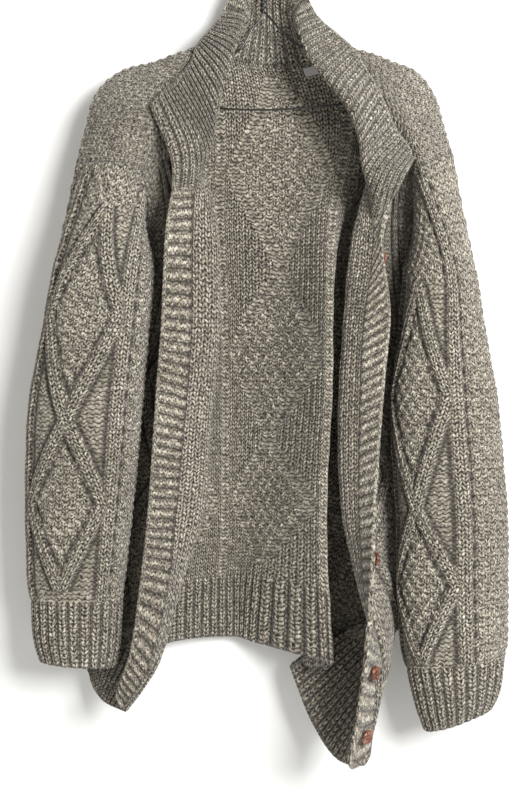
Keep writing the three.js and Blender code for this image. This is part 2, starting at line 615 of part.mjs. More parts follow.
// One panel or sleeve as a closed wall: cables above, rib columns below.
function knitPiece(piece, chart, options, grown = 0) {
  const { first, last, perUnit, ribTop, end, downs, innerStep, isTube, top, turns, extra } = options;
  const plain = steps(first, last, Math.round((last - first) / 6));
  const columns = steps(first, last, last - first);
  const ribRows = [ribTop + 6, end].map((v) => ({ v, keys: columns }));
  const withTurns = (keys) => {
    const others = keys.filter((k) => turns.every((t) => Math.abs(k - t) > 0.5));
    return tidy([first, last, ...turns, ...others], 0.1);
  };
  const coarse = withTurns([...steps(first, last, Math.round((last - first) / innerStep)), ...extra]);
  const outerKeys = (v) => withTurns(cableKeys(chart, first, last, v, plain));
  const outerRows = [...downs.map((v) => ({ v, keys: v === 0 ? top : outerKeys(v) })), ...ribRows];
  const innerRows = [...downs.map((v) => ({ v, keys: v === 0 ? top : coarse })), ...ribRows];
  const at = (stitch, v, side) => {
    const u = stitch / perUnit;
    const isRib = v > ribTop;
    const isEdge = !isTube && (stitch === first || stitch === last);
    const wave = isRib && !isEdge ? ribWave(stitch - first) : 0;
    const relief = side > 0 && !isRib && !isEdge && v > 0 ? cableHeight(chart, stitch, v) : 0;
    return middle[piece](u, v)
      .add(drawnBack(piece, u, v, grown))
      .addScaledVector(throughWall(piece, u, v), side * (WALL / 2 + grown) + wave + relief);
  };
  return wall(outerRows, innerRows, (s, v) => at(s, v, 1), (s, v) => at(s, v, -1), isTube);
}

function frontPiece(piece, grown = 0) {
  const chart = {
    cords: FRONT_CORDS, diamonds: [FRONT_DIAMOND], crossings: BODY_CROSSINGS, half: DIAMOND_HALF,
    from: 14, to: RIB_TOP,
  };
  return knitPiece(piece, chart, {
    first: 0, last: FRONT_STITCHES, perUnit: 1, ribTop: RIB_TOP, end: HEM,
    downs: BODY_DOWNS, innerStep: 3.8, isTube: false, turns: SIDE_TURN, extra: [],
    top: steps(0, FRONT_STITCHES, SHOULDER_STEPS),
  }, grown);
}

function backPiece(grown = 0) {
  const chart = {
    cords: BACK_CORDS, diamonds: BACK_DIAMONDS, crossings: BODY_CROSSINGS, half: DIAMOND_HALF,
    from: 14, to: RIB_TOP,
  };
  const neckColumns = COLLAR_COLUMNS * (NECK_STOPS[3] - NECK_STOPS[2]);
  return knitPiece('back', chart, {
    first: 0, last: BACK_STITCHES, perUnit: 1, ribTop: RIB_TOP, end: HEM,
    downs: BODY_DOWNS, innerStep: 6.5, isTube: false,
    turns: [...SIDE_TURN, ...SIDE_TURN.map((t) => BACK_STITCHES - t)], extra: LABEL_STITCHES,
    top: tidy([
      ...steps(0, NECK_FROM, SHOULDER_STEPS), ...steps(NECK_FROM, NECK_TO, neckColumns),
      ...steps(NECK_TO, BACK_STITCHES, SHOULDER_STEPS),
    ], 0.01),
  }, grown);
}

// A sleeve's top row has its points where the rows of the front and the back end at the armhole.
function armholeKeys() {
  const rows = BODY_DOWNS.filter((row) => row <= UNDERARM).map((row) => row / UNDERARM);
  const onFront = rows.map((share) => share * FRONT_OF_ARMHOLE);
  const onBack = rows.map((share) => 1 - share * (1 - FRONT_OF_ARMHOLE));
  return tidy([...onFront, ...onBack].map((share) => share * SLEEVE_STITCHES), 0.01);
}

function sleevePiece(piece, rings, centre, crossings, cuffTop) {
  const middleStitch = centre * SLEEVE_STITCHES;
  const chart = {
    cords: [middleStitch - SLEEVE_CORD_REACH, middleStitch + SLEEVE_CORD_REACH],
    diamonds: [middleStitch], crossings, half: SLEEVE_DIAMOND_HALF, from: 14, to: cuffTop,
  };
  const halves = crossings.slice(1).map((c, k) => (c + crossings[k]) / 2);
  const downs = tidy([0, 6, 14, 28, ...steps(50, cuffTop, 10), ...crossings, ...halves], 9);
  return knitPiece(piece, chart, {
    first: 0, last: SLEEVE_STITCHES, perUnit: SLEEVE_STITCHES, ribTop: cuffTop, end: rings.at(-1).down,
    downs, innerStep: 4, isTube: true, turns: [], extra: [], top: armholeKeys(),
  });
}

// Rib pieces with their columns across: the same wave on both sides.
function collarPiece() {
  const rows = [0, 0.12, 0.5, 1];
  const columns = steps(0, COLLAR_COLUMNS, COLLAR_COLUMNS);
  const at = (column, v, side) => {
    const u = column / COLLAR_COLUMNS;
    const isEnd = column === 0 || column === COLLAR_COLUMNS;
    const wave = v > 0 && !isEnd ? ribWave(column) : 0;
    return middle.collar(u, v)
      .add(drawnBack('collar', u, v))
      .addScaledVector(throughWall('collar', u, v), (side * WALL) / 2 + wave);
  };
  const grid = rows.map((v) => ({ v, keys: columns }));
  return wall(grid, grid, (c, v) => at(c, v, 1), (c, v) => at(c, v, -1), false);
}

function bandPiece(piece, grown = 0) {
  const downs = steps(BAND_TOP, HEM, BAND_COLUMNS);
  const at = (stitch, v, side) => {
    const column = Math.round(((v - BAND_TOP) / (HEM - BAND_TOP)) * BAND_COLUMNS);
    const isEnd = column === 0 || column === BAND_COLUMNS || stitch === 0;
    const wave = isEnd ? 0 : ribWave(column);
    return middle[piece](stitch, v)
      .add(drawnBack(piece, stitch, v, grown))
      .addScaledVector(throughWall(piece, stitch, v), side * (WALL / 2 + grown) + wave);
  };
  const across = [0, 0.6, BAND_STITCHES];
  const topRow = steps(0, BAND_STITCHES, NECK_STOPS[1] * COLLAR_COLUMNS);
  const grid = downs.map((v) => ({ v, keys: v === BAND_TOP ? topRow : across }));
  return wall(grid, grid, (s, v) => at(s, v, 1), (s, v) => at(s, v, -1), false);
}

// Button: a low turned disc that stands on a short shank from the nearest raised rib of the band.
function buttonPiece(near) {
  const r = BUTTON_DIAMETER / 2;
  const shank = BUTTON_SHANK;
  const seat = WALL / 2 + RIB_DEPTH + 0.15;
  const rib = (2 * (HEM - BAND_TOP)) / BAND_COLUMNS;
  const down = BAND_TOP + rib * Math.round((near - BAND_TOP) / rib);
  const profile = [
    [0, seat], [2, seat], [2, seat + shank], [r - 1.2, seat + shank], [r, seat + shank + 1.3],
    [r - 1, seat + shank + BUTTON_THICK - 0.4], [r - 3, seat + shank + BUTTON_THICK],
    [0, seat + shank + BUTTON_THICK - 0.8],
  ].map(([x, y]) => new THREE.Vector2(x, y));
  const { out } = frameAt('band_left', BUTTON_AT, down);
  const turn = new THREE.Quaternion().setFromUnitVectors(new THREE.Vector3(0, 1, 0), out);
  return new THREE.LatheGeometry(profile, 9)
    .applyQuaternion(turn)
    .translate(...middle.band_left(BUTTON_AT, down).toArray());
}

// Neck label: a small piece that follows the back's inner side just under the collar seam.
function labelPiece() {
  const stitches = [51, 52, 53, 54, 54.8];
  const downs = [5, 5 + LABEL.height / 2, 5 + LABEL.height];
  const at = (stitch, v, lift) =>
    middle.back(stitch, v).addScaledVector(frameAt('back', stitch, v).out, -(WALL / 2 + 0.6 + lift));
  const grid = downs.map((v) => ({ v, keys: stitches }));
  return wall(grid, grid, (s, v) => at(s, v, 0), (s, v) => at(s, v, LABEL.thick), false);
}

// Hanger: one wire that comes over the hook, down the neck, round the triangle, and whose end is
// twisted up round the neck.
function hangerPiece() {
  const bend = HOOK_RADIUS + WIRE / 2;
  const hook = steps(HOOK_FROM, HOOK_TO, 15).map((degrees) => {
    const turn = THREE.MathUtils.degToRad(degrees);
    return new THREE.Vector3(bend * Math.cos(turn), 0, bend * Math.sin(turn) - HOOK_RADIUS);
  });
  const neck = HANGER_NECK.map(([x, z]) => new THREE.Vector3(x, 0, z));
  const underSeam = (stitch) => {
    const seam = backTop(stitch);
    return [seam.x, seam.z - UNDER_SEAM];
  };
  const shoulder = NECK_FROM / SHOULDER_STEPS;
  const rightArm = steps(NECK_FROM, NECK_FROM - 5 * shoulder, 5).map(underSeam);
  const leftArm = steps(NECK_TO + 5 * shoulder, NECK_TO, 5).map(underSeam);
  const round = [...ARM_FROM_NECK, ...rightArm, ...TIPS_AND_BAR, ...leftArm, ...ARM_TO_NECK]
    .map(([x, z]) => new THREE.Vector3(x, 0, z));
  const twist = steps(0, TWIST_TURNS, TWIST_TURNS * 6).map((turns) => {
    const turn = 2 * Math.PI * turns;
    const height = TWIST_BOTTOM + (TWIST_TOP - TWIST_BOTTOM) * (turns / TWIST_TURNS);
    return new THREE.Vector3(TWIST_RADIUS * Math.cos(turn), TWIST_RADIUS * Math.sin(turn), height);
  });
  return tube([...hook, ...neck, ...round, ...twist], WIRE / 2, 6);
}

// A round wire through points, with a flat cap at each end.
function tube(line, radius, sides) {
  const points = [];
  const faces = [];
  const tangents = line.map((p, k) =>
    line[Math.min(k + 1, line.length - 1)].clone().sub(line[Math.max(k - 1, 0)]).normalize());
  let across = new THREE.Vector3(0, 1, 0);
  line.forEach((p, k) => {
    across = across.addScaledVector(tangents[k], -across.dot(tangents[k])).normalize();
    const other = tangents[k].clone().cross(across);
    for (let n = 0; n < sides; n += 1) {
      const turn = (2 * Math.PI * n) / sides;
      points.push(p.clone()
        .addScaledVector(across, radius * Math.cos(turn))
        .addScaledVector(other, radius * Math.sin(turn)));
    }
  });
  const at = (k, n) => k * sides + (n % sides);
  for (let k = 0; k + 1 < line.length; k += 1) {
    for (let n = 0; n < sides; n += 1) {
      faces.push([at(k, n), at(k, n + 1), at(k + 1, n + 1)], [at(k, n), at(k + 1, n + 1), at(k + 1, n)]);
    }
  }
  for (let n = 1; n + 1 < sides; n += 1) {
    faces.push([at(0, 0), at(0, n + 1), at(0, n)]);
    faces.push([at(line.length - 1, 0), at(line.length - 1, n), at(line.length - 1, n + 1)]);
  }
  return solid(points, faces);
}

const cardigan = new THREE.Group();
function put(name, geometry, material) {
  const mesh = new THREE.Mesh(geometry, material);
  mesh.name = name;
  cardigan.add(mesh);
}

const room = {
  back: backPiece(SEAM_ROOM),
  frontRight: frontPiece('front_right', SEAM_ROOM),
  frontLeft: frontPiece('front_left', SEAM_ROOM),
  bandRight: bandPiece('band_right', SEAM_ROOM),
  bandLeft: bandPiece('band_left', SEAM_ROOM),
};
const sleeveRight = sleevePiece(
  'sleeve_right', SLEEVE_RIGHT, SLEEVE_RIGHT_CENTRE, SLEEVE_RIGHT_CROSSINGS, CUFF_RIGHT_TOP);
const sleeveLeft = sleevePiece(
  'sleeve_left', SLEEVE_LEFT, SLEEVE_LEFT_CENTRE, SLEEVE_LEFT_CROSSINGS, CUFF_LEFT_TOP);

const back = backPiece();
const frontRight = cutClear(frontPiece('front_right'), [room.back]);
const frontLeft = cutClear(frontPiece('front_left'), [room.back]);

put('back', back, wool);
put('front_right', frontRight, wool);
put('front_left', frontLeft, wool);
put('band_right', cutClear(bandPiece('band_right'), [room.frontRight]), wool);
put('band_left', cutClear(bandPiece('band_left'), [room.frontLeft, frontLeft]), wool);
put('sleeve_right', cutClear(sleeveRight, [room.back, room.frontRight, frontRight]), wool);
put('sleeve_left', cutClear(sleeveLeft, [room.back, room.frontLeft, back, frontLeft]), wool);
put('collar', cutClear(collarPiece(), [room.frontRight, room.frontLeft, room.bandRight]), wool);
BUTTON_DOWN.forEach((down, k) => put('button_' + (k + 1), buttonPiece(down), buttonFinish));
put('neck_label', labelPiece(), labelCloth);
put('hanger', hangerPiece(), steel);

export default cardigan;
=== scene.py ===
# The chunky cable knit cardigan on its wire hanger: knitted, sewn up, buttoned and lit.
# Lengths in the tables are millimetres; "right" and "left" in a name are the wearer's.
import math

import bpy
import numpy as np
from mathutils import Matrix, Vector


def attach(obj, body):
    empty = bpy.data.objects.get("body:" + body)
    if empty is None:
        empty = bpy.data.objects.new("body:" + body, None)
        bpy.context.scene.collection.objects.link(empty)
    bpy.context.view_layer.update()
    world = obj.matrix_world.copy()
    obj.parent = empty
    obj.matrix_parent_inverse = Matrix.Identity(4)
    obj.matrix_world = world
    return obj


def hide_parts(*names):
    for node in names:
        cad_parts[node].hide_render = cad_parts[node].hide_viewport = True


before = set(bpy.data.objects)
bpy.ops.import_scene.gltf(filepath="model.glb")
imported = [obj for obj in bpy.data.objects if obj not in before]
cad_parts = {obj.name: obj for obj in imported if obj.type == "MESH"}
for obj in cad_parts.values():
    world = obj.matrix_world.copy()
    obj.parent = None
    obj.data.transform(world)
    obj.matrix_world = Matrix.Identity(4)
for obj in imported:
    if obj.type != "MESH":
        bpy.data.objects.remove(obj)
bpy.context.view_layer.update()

# The camera is level, 1.5 m in front of the hanger's plane
lookout = {"place": (0.003, -1.473, -0.563), "lens": 56.25, "sensor": 36, "clipStart": 0.05}
camera = bpy.data.objects.new("camera", bpy.data.cameras.new("camera"))
bpy.context.scene.collection.objects.link(camera)
camera.location = lookout["place"]
camera.rotation_euler = (math.radians(90), 0, 0)
camera.data.lens = lookout["lens"]
camera.data.sensor_width = lookout["sensor"]
camera.data.clip_start = lookout["clipStart"]
bpy.context.scene.camera = camera
print("camera set")

# The cloth: widths in stitches, places down a panel in mm from its top
cloth = {
    "wall": 4.0,
    "forward": 27.0,  # how far the shoulders' line lies in front of the wall
    "backStitches": 91,
    "frontStitches": 38,
    "bandStitches": 6,
    "cornerStitches": 3.2,  # the round corner at a band's foot
    "cornerHeight": 18.0,
    "cornerFrom": 640.0,
    "sleeveStitches": 48,
    "neckFrom": 35,
    "neckTo": 56,
    "underarm": 190.0,
    "bandTop": 170.0,
    "ribTop": 645.0,
    "hem": 720.0,
    "frontOfArmhole": 0.56,
    "sleeveHead": 14.0,
    "pitLevel": 0.3,  # how far the seam is levelled at the armpit
    "levels": [0, 60, 100, 190, 305, 405, 515, 590, 645, 720],
}
backEnd = cloth["backStitches"]
frontEnd = cloth["frontStitches"]
bandEnd = cloth["bandStitches"]
bandTop = cloth["bandTop"]
underarm = cloth["underarm"]
shoulderShare = cloth["neckFrom"] / frontEnd
rightUnderarm = [-135, 30, -361]
leftUnderarm = [182, 30, -361]
rightSide = [
    [-158, 10, -480], [-204, 11, -587], [-219, 11, -706],
    [-219, 12, -783], [-215, 13, -815], [-207, 15, -881],
]
leftSide = [
    [198, 10, -480], [219, 10, -587], [219, 10, -706], [193, 12, -789], [97, 22, -837], [32, 30, -878],
]
# Panels: for a stitch, the places at each of the cloth's levels as [right, forward, up]
frontRight = {
    0: [[-215, 50, -290], [-164, 90, -295], [-141, 74, -301], rightUnderarm, *rightSide],
    12: [
        [-194, 37, -206], [-159, 74, -234], [-122, 74, -261], [-103, 38, -362], [-117, 20, -480],
        [-156, 17, -587], [-175, 15, -705], [-187, 17, -782], [-195, 18, -841], [-199, 21, -903],
    ],
    24: [
        [-135, 27, -169], [-119, 54, -203], [-96, 64, -253], [-72, 54, -364], [-74, 40, -481],
        [-88, 38, -586], [-111, 36, -704], [-132, 38, -785], [-155, 44, -854], [-183, 52, -913],
    ],
    33: [
        [-79, 27, -151], [-80, 44, -190], [-78, 60, -256], [-54, 76, -360], [-52, 74, -483],
        [-62, 76, -591], [-69, 76, -688], [-96, 78, -779], [-118, 80, -854], [-158, 82, -916],
    ],
    38: [
        [-58, 27, -145], [-59, 48, -197], [-67, 63, -264], [-79, 86, -342], [-81, 92, -484],
        [-89, 92, -591], [-99, 92, -698], [-108, 94, -779], [-130, 94, -864], [-160, 88, -912],
    ],
}
frontLeft = {
    0: [[217, 50, -276], [184, 90, -297], [172, 74, -303], leftUnderarm, *leftSide],
    12: [
        [196, 38, -203], [166, 72, -236], [158, 72, -268], [148, 38, -362], [159, 20, -480],
        [174, 17, -587], [177, 17, -705], [172, 17, -787], [134, 30, -852], [56, 44, -936],
    ],
    24: [
        [135, 27, -159], [132, 54, -204], [140, 64, -256], [126, 54, -364], [122, 44, -481],
        [127, 42, -586], [137, 42, -703], [147, 50, -782], [145, 62, -864], [84, 66, -974],
    ],
    33: [
        [98, 27, -150], [112, 44, -194], [130, 60, -262], [104, 78, -377], [93, 76, -483],
        [87, 80, -591], [93, 88, -699], [110, 100, -775], [132, 104, -864], [111, 100, -973],
    ],
    38: [
        [84, 27, -148], [96, 48, -203], [118, 62, -266], [125, 92, -383], [113, 98, -484],
        [109, 100, -585], [108, 112, -696], [114, 120, -773], [123, 118, -859], [118, 110, -959],
    ],
}
backTable = {
    0: [[-215, 50, -290], [-190, 8, -300], [-157, 5, -324], rightUnderarm, *rightSide],
    24: [
        [-135, 28, -169], [-125, 6, -219], [-105, 6, -264], [-97, 8, -343], [-87, 12, -458],
        [-87, 14, -556], [-93, 14, -663], [-96, 14, -733], [-101, 14, -781], [-103, 16, -849],
    ],
    38: [
        [-40, 14, -156], [-32, 3, -212], [-32, 3, -254], [-35, 3, -340], [-32, 3, -450],
        [-32, 3, -551], [-32, 3, -656], [-32, 4, -726], [-35, 5, -773], [-35, 8, -845],
    ],
    46: [
        [6, 3, -162], [26, 4, -218], [26, 6, -259], [27, 14, -344], [24, 26, -455],
        [16, 28, -551], [8, 26, -655], [4, 24, -724], [-1, 22, -773], [-7, 22, -850],
    ],
    56: [
        [84, 27, -148], [98, 10, -215], [98, 22, -260], [82, 48, -348], [76, 84, -459],
        [75, 92, -552], [70, 92, -651], [69, 90, -719], [71, 90, -780], [75, 88, -861],
    ],
    66: [
        [150, 28, -166], [158, 6, -226], [144, 8, -262], [105, 22, -345], [69, 34, -460],
        [62, 34, -556], [54, 34, -662], [50, 34, -737], [48, 36, -800], [52, 48, -873],
    ],
    78: [
        [196, 35, -202], [197, 8, -257], [173, 5, -286], [144, 8, -349], [130, 12, -469],
        [128, 10, -568], [123, 10, -680], [110, 12, -763], [74, 18, -820], [68, 14, -872],
    ],
    91: [[217, 50, -276], [215, 5, -295], [200, 5, -321], leftUnderarm, *leftSide],
}
# The back's top edge by stitch: shoulder seam, back neck, shoulder seam
backTopTable = {
    0: [-215, 50, -290], 6: [-206, 44, -250], 12: [-195, 34, -206], 18: [-168, 27, -178],
    24: [-135, 27, -169], 30: [-98, 27, -156], 35: [-58, 27, -145], 38: [-40, 14, -156],
    42: [-18, 6, -160], 46: [6, 3, -162], 50: [38, 5, -164], 53: [64, 12, -160],
    56: [84, 27, -148], 61: [118, 27, -154], 67: [150, 27, -166], 73: [180, 27, -178],
    79: [200, 34, -208], 85: [209, 44, -245], 91: [217, 50, -276],
}
# The bands' free edges at their own levels, as [right, forward, up]
bandLevels = [170, 215, 305, 370, 440, 515, 590, 645, 690, 720]
bandRightEdge = [
    [-103, 86, -324], [-110, 92, -372], [-115, 92, -480], [-120, 92, -545], [-125, 90, -620],
    [-131, 88, -698], [-139, 88, -770], [-149, 88, -842], [-162, 86, -882], [-168, 84, -899],
]
bandLeftEdge = [
    [146, 88, -334], [134, 100, -378], [143, 102, -465], [137, 105, -535], [130, 112, -610],
    [124, 126, -690], [119, 140, -770], [111, 144, -845], [100, 139, -920], [89, 124, -980],
]
# Rings of the sleeves: length down, right, half width, forward, half depth, up, slant
sleeveRightRings = [
    [110, -182, 55, 64, 36, -414, 0], [180, -191, 58, 66, 34, -483, 0], [260, -202, 62, 66, 33, -563, 0],
    [330, -207, 61, 65, 32, -632, 0], [400, -211, 58, 63, 31, -701, 0], [468, -214, 53, 60, 29, -770, 0],
    [490, -214, 50, 59, 28, -792, 0], [538, -214, 47, 60, 25, -839, 0], [566, -213, 41, 60, 21, -867, 3],
]
sleeveLeftRings = [
    [110, 204, 37, 64, 37, -414, 0], [190, 207, 48, 66, 36, -498, 0], [256, 209, 57, 67, 34, -563, 0],
    [325, 213, 60, 67, 33, -632, 0], [394, 218, 60, 65, 32, -701, 0], [474, 219, 60, 63, 32, -781, 2],
    [532, 221, 58, 61, 31, -839, 4], [556, 222, 54, 60, 29, -863, 6], [602, 225, 45, 57, 25, -909, 9],
    [628, 225, 36, 55, 21, -932, 13],
]
# Collar: place along the neck, its roll, its free edge
collarTable = [
    [0, [-104, 96, -289], [-129, 76, -227]],
    [0.03, [-86, 100, -279], [-116, 70, -210]],
    [0.1, [-63, 94, -273], [-102, 66, -197]],
    [0.189, [-55, 88, -238], [-85, 50, -171]],
    [0.242, [-47, 78, -199], [-77, 42, -149]],
    [0.323, [-33, 66, -157], [-65, 38, -133]],
    [0.407, [-23, 42, -122], [-49, 20, -108]],
    [0.443, [-18, 16, -100], [-27, 28, -66]],
    [0.505, [6, 0, -100], [6, 8, -43]],
    [0.554, [32, 14, -102], [41, 28, -66]],
    [0.58, [41, 42, -127], [62, 26, -108]],
    [0.634, [52, 66, -164], [87, 42, -136]],
    [0.716, [74, 82, -198], [106, 50, -157]],
    [0.772, [96, 92, -227], [121, 60, -185]],
    [0.817, [110, 100, -263], [136, 70, -215]],
    [0.884, [116, 108, -301], [152, 80, -256]],
    [0.95, [137, 112, -316], [165, 88, -276]],
    [1, [157, 110, -316], [169, 92, -295]],
]
neckStops = [0, 0.05, 0.4, 0.6, 0.95, 1]


# Places in the scene's axes, from tables of right, forward and up
def placed(cells):
    cells = np.asarray(cells, float)
    return np.stack([cells[..., 0], cloth["forward"] - cells[..., 1], cells[..., 2]], -1)


def smooth(x, low, high):
    s = np.clip((x - low) / (high - low), 0, 1)
    return s * s * (3 - 2 * s)


# Shares of the places at knots that make a smooth line at each t
def shares(knots, t):
    knots = np.asarray(knots, float)
    t = np.asarray(t, float)
    last = len(knots) - 1
    i = np.clip(np.searchsorted(knots, t) - 1, 0, last - 1)
    width = knots[i + 1] - knots[i]
    s = np.clip((t - knots[i]) / width, 0, 1)
    made = np.zeros((len(t), last + 1))
    row = np.arange(len(t))
    np.add.at(made, (row, i), 2 * s**3 - 3 * s**2 + 1)
    np.add.at(made, (row, i + 1), 3 * s**2 - 2 * s**3)
    for k, slope in ((i, (s**3 - 2 * s**2 + s) * width), (i + 1, (s**3 - s**2) * width)):
        before = np.maximum(k - 1, 0)
        after = np.minimum(k + 1, last)
        gap = knots[after] - knots[before]
        np.add.at(made, (row, after), slope / gap)
        np.add.at(made, (row, before), -slope / gap)
    return made


def backTop(stitch):
    return shares(list(backTopTable), stitch) @ placed(list(backTopTable.values()))


# The panels turn back at their sides below the underarm, and at their tops
edgeTurn = {
    "depth": 6.0, "aboveUnderarm": 25, "belowUnderarm": 5, "flatTo": 2.6, "neckShare": 0.35,
    "side": {"width": 1, "flatFrom": 8}, "top": {"width": 6, "flatFrom": 20},
}


# A round turn at an edge, which lies flat again further in
def turned(distance, size):
    share = 1 - np.minimum(distance / size["width"], 1)
    flat = smooth(distance, size["flatFrom"], edgeTurn["flatTo"] * size["flatFrom"])
    return np.sqrt(np.clip(1 - share * share, 0, 1)) * (1 - flat)


# A back or front: its middle surface by stitch u and mm down v. sides are the stitches of its side seams.
def panel(table, top, way, sides):
    stitches = list(table)
    lines = [placed(cells) for cells in table.values()]

    def at(u, v):
        across = shares(stitches, u)
        down = shares(cloth["levels"], v)
        split = np.zeros_like(down)
        upper = v < underarm
        atUnderarm = cloth["levels"].index(underarm)
        split[upper, :atUnderarm + 1] = shares(cloth["levels"][:atUnderarm + 1], v[upper])
        split[~upper, atUnderarm:] = shares(cloth["levels"][atUnderarm:], v[~upper])
        p = np.zeros((len(u), 3))
        start = np.zeros((len(u), 3))
        for k, cells in enumerate(lines):
            fall = split if stitches[k] in sides else down
            p += across[:, k, None] * (fall @ cells)
            start += across[:, k, None] * cells[0]
        near = np.maximum(0, 1 - v / cloth["levels"][1])[:, None] ** 2
        p += (top(u) - start) * near
        fromSide = np.min([np.abs(u - side) for side in sides], axis=0)
        below = smooth(v, underarm - edgeTurn["aboveUnderarm"], underarm + edgeTurn["belowUnderarm"])
        isShoulder = (way > 0) | (u < cloth["neckFrom"]) | (u > cloth["neckTo"])
        atTop = np.where(isShoulder, 1, edgeTurn["neckShare"]) * turned(v, edgeTurn["top"])
        p[:, 1] -= way * edgeTurn["depth"] * (below * turned(fromSide, edgeTurn["side"]) + atTop)
        return p

    return at


def band(front, cells):
    edge = placed(cells)

    def at(u, v):
        toCorner = np.clip(1 - (bandEnd - u) / cloth["cornerStitches"], 0, 1)
        rounded = cloth["cornerHeight"] * (1 - np.sqrt(1 - toCorner ** 2))
        low = np.clip((v - cloth["cornerFrom"]) / (cloth["hem"] - cloth["cornerFrom"]), 0, 1)
        v = v - rounded * low ** 2
        seam = front(np.full_like(v, frontEnd), v)
        free = shares(bandLevels, v) @ edge
        return seam + (free - seam) * (u / bandEnd)[:, None]

    return at


# A sleeve: u goes once round it from the shoulder, over the front, and v is mm down from the armhole
def sleeve(rings, armhole, side):
    head = cloth["sleeveHead"]
    knots = [0, head] + [ring[0] for ring in rings]
    centre = armhole(np.array([0, 0.25, 0.5, 0.75])).mean(0)

    def onRing(ring, around):
        out = np.cos(2 * np.pi * around)
        return placed(np.stack([
            ring[1] + side * ring[2] * out,
            ring[3] + ring[4] * np.sin(2 * np.pi * around),
            ring[5] + ring[6] * out,
        ], -1))

    def at(u, v):
        share = np.mod(u, 1)
        top = armhole(share)
        pit = np.maximum(0, np.cos(2 * np.pi * (share - cloth["frontOfArmhole"]))) ** 2
        first = top + (onRing(rings[0], share) - top) * (head / rings[0][0])
        level = np.stack([np.full_like(u, centre[0]), np.full_like(u, centre[1]), first[:, 2]], -1)
        first = first + (level - first) * (cloth["pitLevel"] * pit)[:, None]
        down = shares(knots, v)
        p = down[:, 0, None] * top + down[:, 1, None] * first
        for k, ring in enumerate(rings):
            p += down[:, k + 2, None] * onRing(ring, share)
        return p

    return at


def armholeLine(front, back, backStitch):
    def at(around):
        around = np.asarray(around, float)
        split = cloth["frontOfArmhole"]
        onFront = front(np.zeros_like(around), np.clip(around / split, 0, 1) * underarm)
        onBack = back(
            np.full_like(around, backStitch), np.clip((1 - around) / (1 - split), 0, 1) * underarm)
        return np.where((around < split)[:, None], onFront, onBack)

    return at


surface = {
    "back": panel(backTable, backTop, -1, [0, backEnd]),
    "front_right": panel(frontRight, lambda u: backTop(u * shoulderShare), 1, [0]),
    "front_left": panel(frontLeft, lambda u: backTop(backEnd - u * shoulderShare), 1, [0]),
}
surface["band_right"] = band(surface["front_right"], bandRightEdge)
surface["band_left"] = band(surface["front_left"], bandLeftEdge)
surface["sleeve_right"] = sleeve(
    sleeveRightRings, armholeLine(surface["front_right"], surface["back"], 0), -1)
surface["sleeve_left"] = sleeve(
    sleeveLeftRings, armholeLine(surface["front_left"], surface["back"], backEnd), 1)


# The piece and its own place on it along the neck line
def onNeck(at):
    stop = neckStops
    part = np.clip(np.searchsorted(stop, at, side="right") - 1, 0, 4)
    share = (at - np.take(stop, part)) / (np.take(stop, part + 1) - np.take(stop, part))
    names = ["band_right", "front_right", "back", "front_left", "band_left"]
    onFront = np.full_like(at, frontEnd)
    onBack = cloth["neckFrom"] + (cloth["neckTo"] - cloth["neckFrom"]) * share
    bandLevel = np.full_like(at, bandTop)
    u = np.choose(part, [bandEnd * (1 - share), onFront, onBack, onFront, bandEnd * share])
    v = np.choose(part, [bandLevel, bandTop * (1 - share), 0 * at, bandTop * share, bandLevel])
    return part, names, u, v


def collar(at, height):
    part, names, u, v = onNeck(at)
    foot = np.zeros((len(at), 3))
    for k, name in enumerate(names):
        chosen = part == k
        if chosen.any():
            foot[chosen] = surface[name](u[chosen], v[chosen])
    along = shares([row[0] for row in collarTable], at)
    roll = along @ placed([row[1] for row in collarTable])
    edge = along @ placed([row[2] for row in collarTable])
    up = shares([0, 0.5, 1], height)
    return up[:, :1] * foot + up[:, 1:2] * roll + up[:, 2:] * edge


surface["collar"] = collar
# Which way a piece's middle surface faces, and the ends of its u and v
facing = {
    "back": 1, "front_right": -1, "front_left": 1, "band_right": -1, "band_left": 1,
    "sleeve_right": -1, "sleeve_left": 1, "collar": -1,
}
frontReach = [0, frontEnd, 0, cloth["hem"]]
bandReach = [0, bandEnd, bandTop, cloth["hem"]]
reach = {
    "back": [0, backEnd, 0, cloth["hem"]], "front_right": frontReach, "front_left": frontReach,
    "band_right": bandReach, "band_left": bandReach,
    "sleeve_right": [-1, 2, 0, sleeveRightRings[-1][0]], "sleeve_left": [-1, 2, 0, sleeveLeftRings[-1][0]],
    "collar": [0, 1, 0, 1],
}
outwardStep = 2e-3


# The outward direction of a piece's middle surface
def outward(piece, u, v):
    u0, u1, v0, v1 = reach[piece]
    du = (u1 - u0) * outwardStep
    dv = (v1 - v0) * outwardStep
    at = surface[piece]
    along = at(np.minimum(u + du, u1), v) - at(np.maximum(u - du, u0), v)
    down = at(u, np.minimum(v + dv, v1)) - at(u, np.maximum(v - dv, v0))
    out = np.cross(along, down)
    return facing[piece] * out / np.maximum(np.linalg.norm(out, axis=1), 1e-9)[:, None]


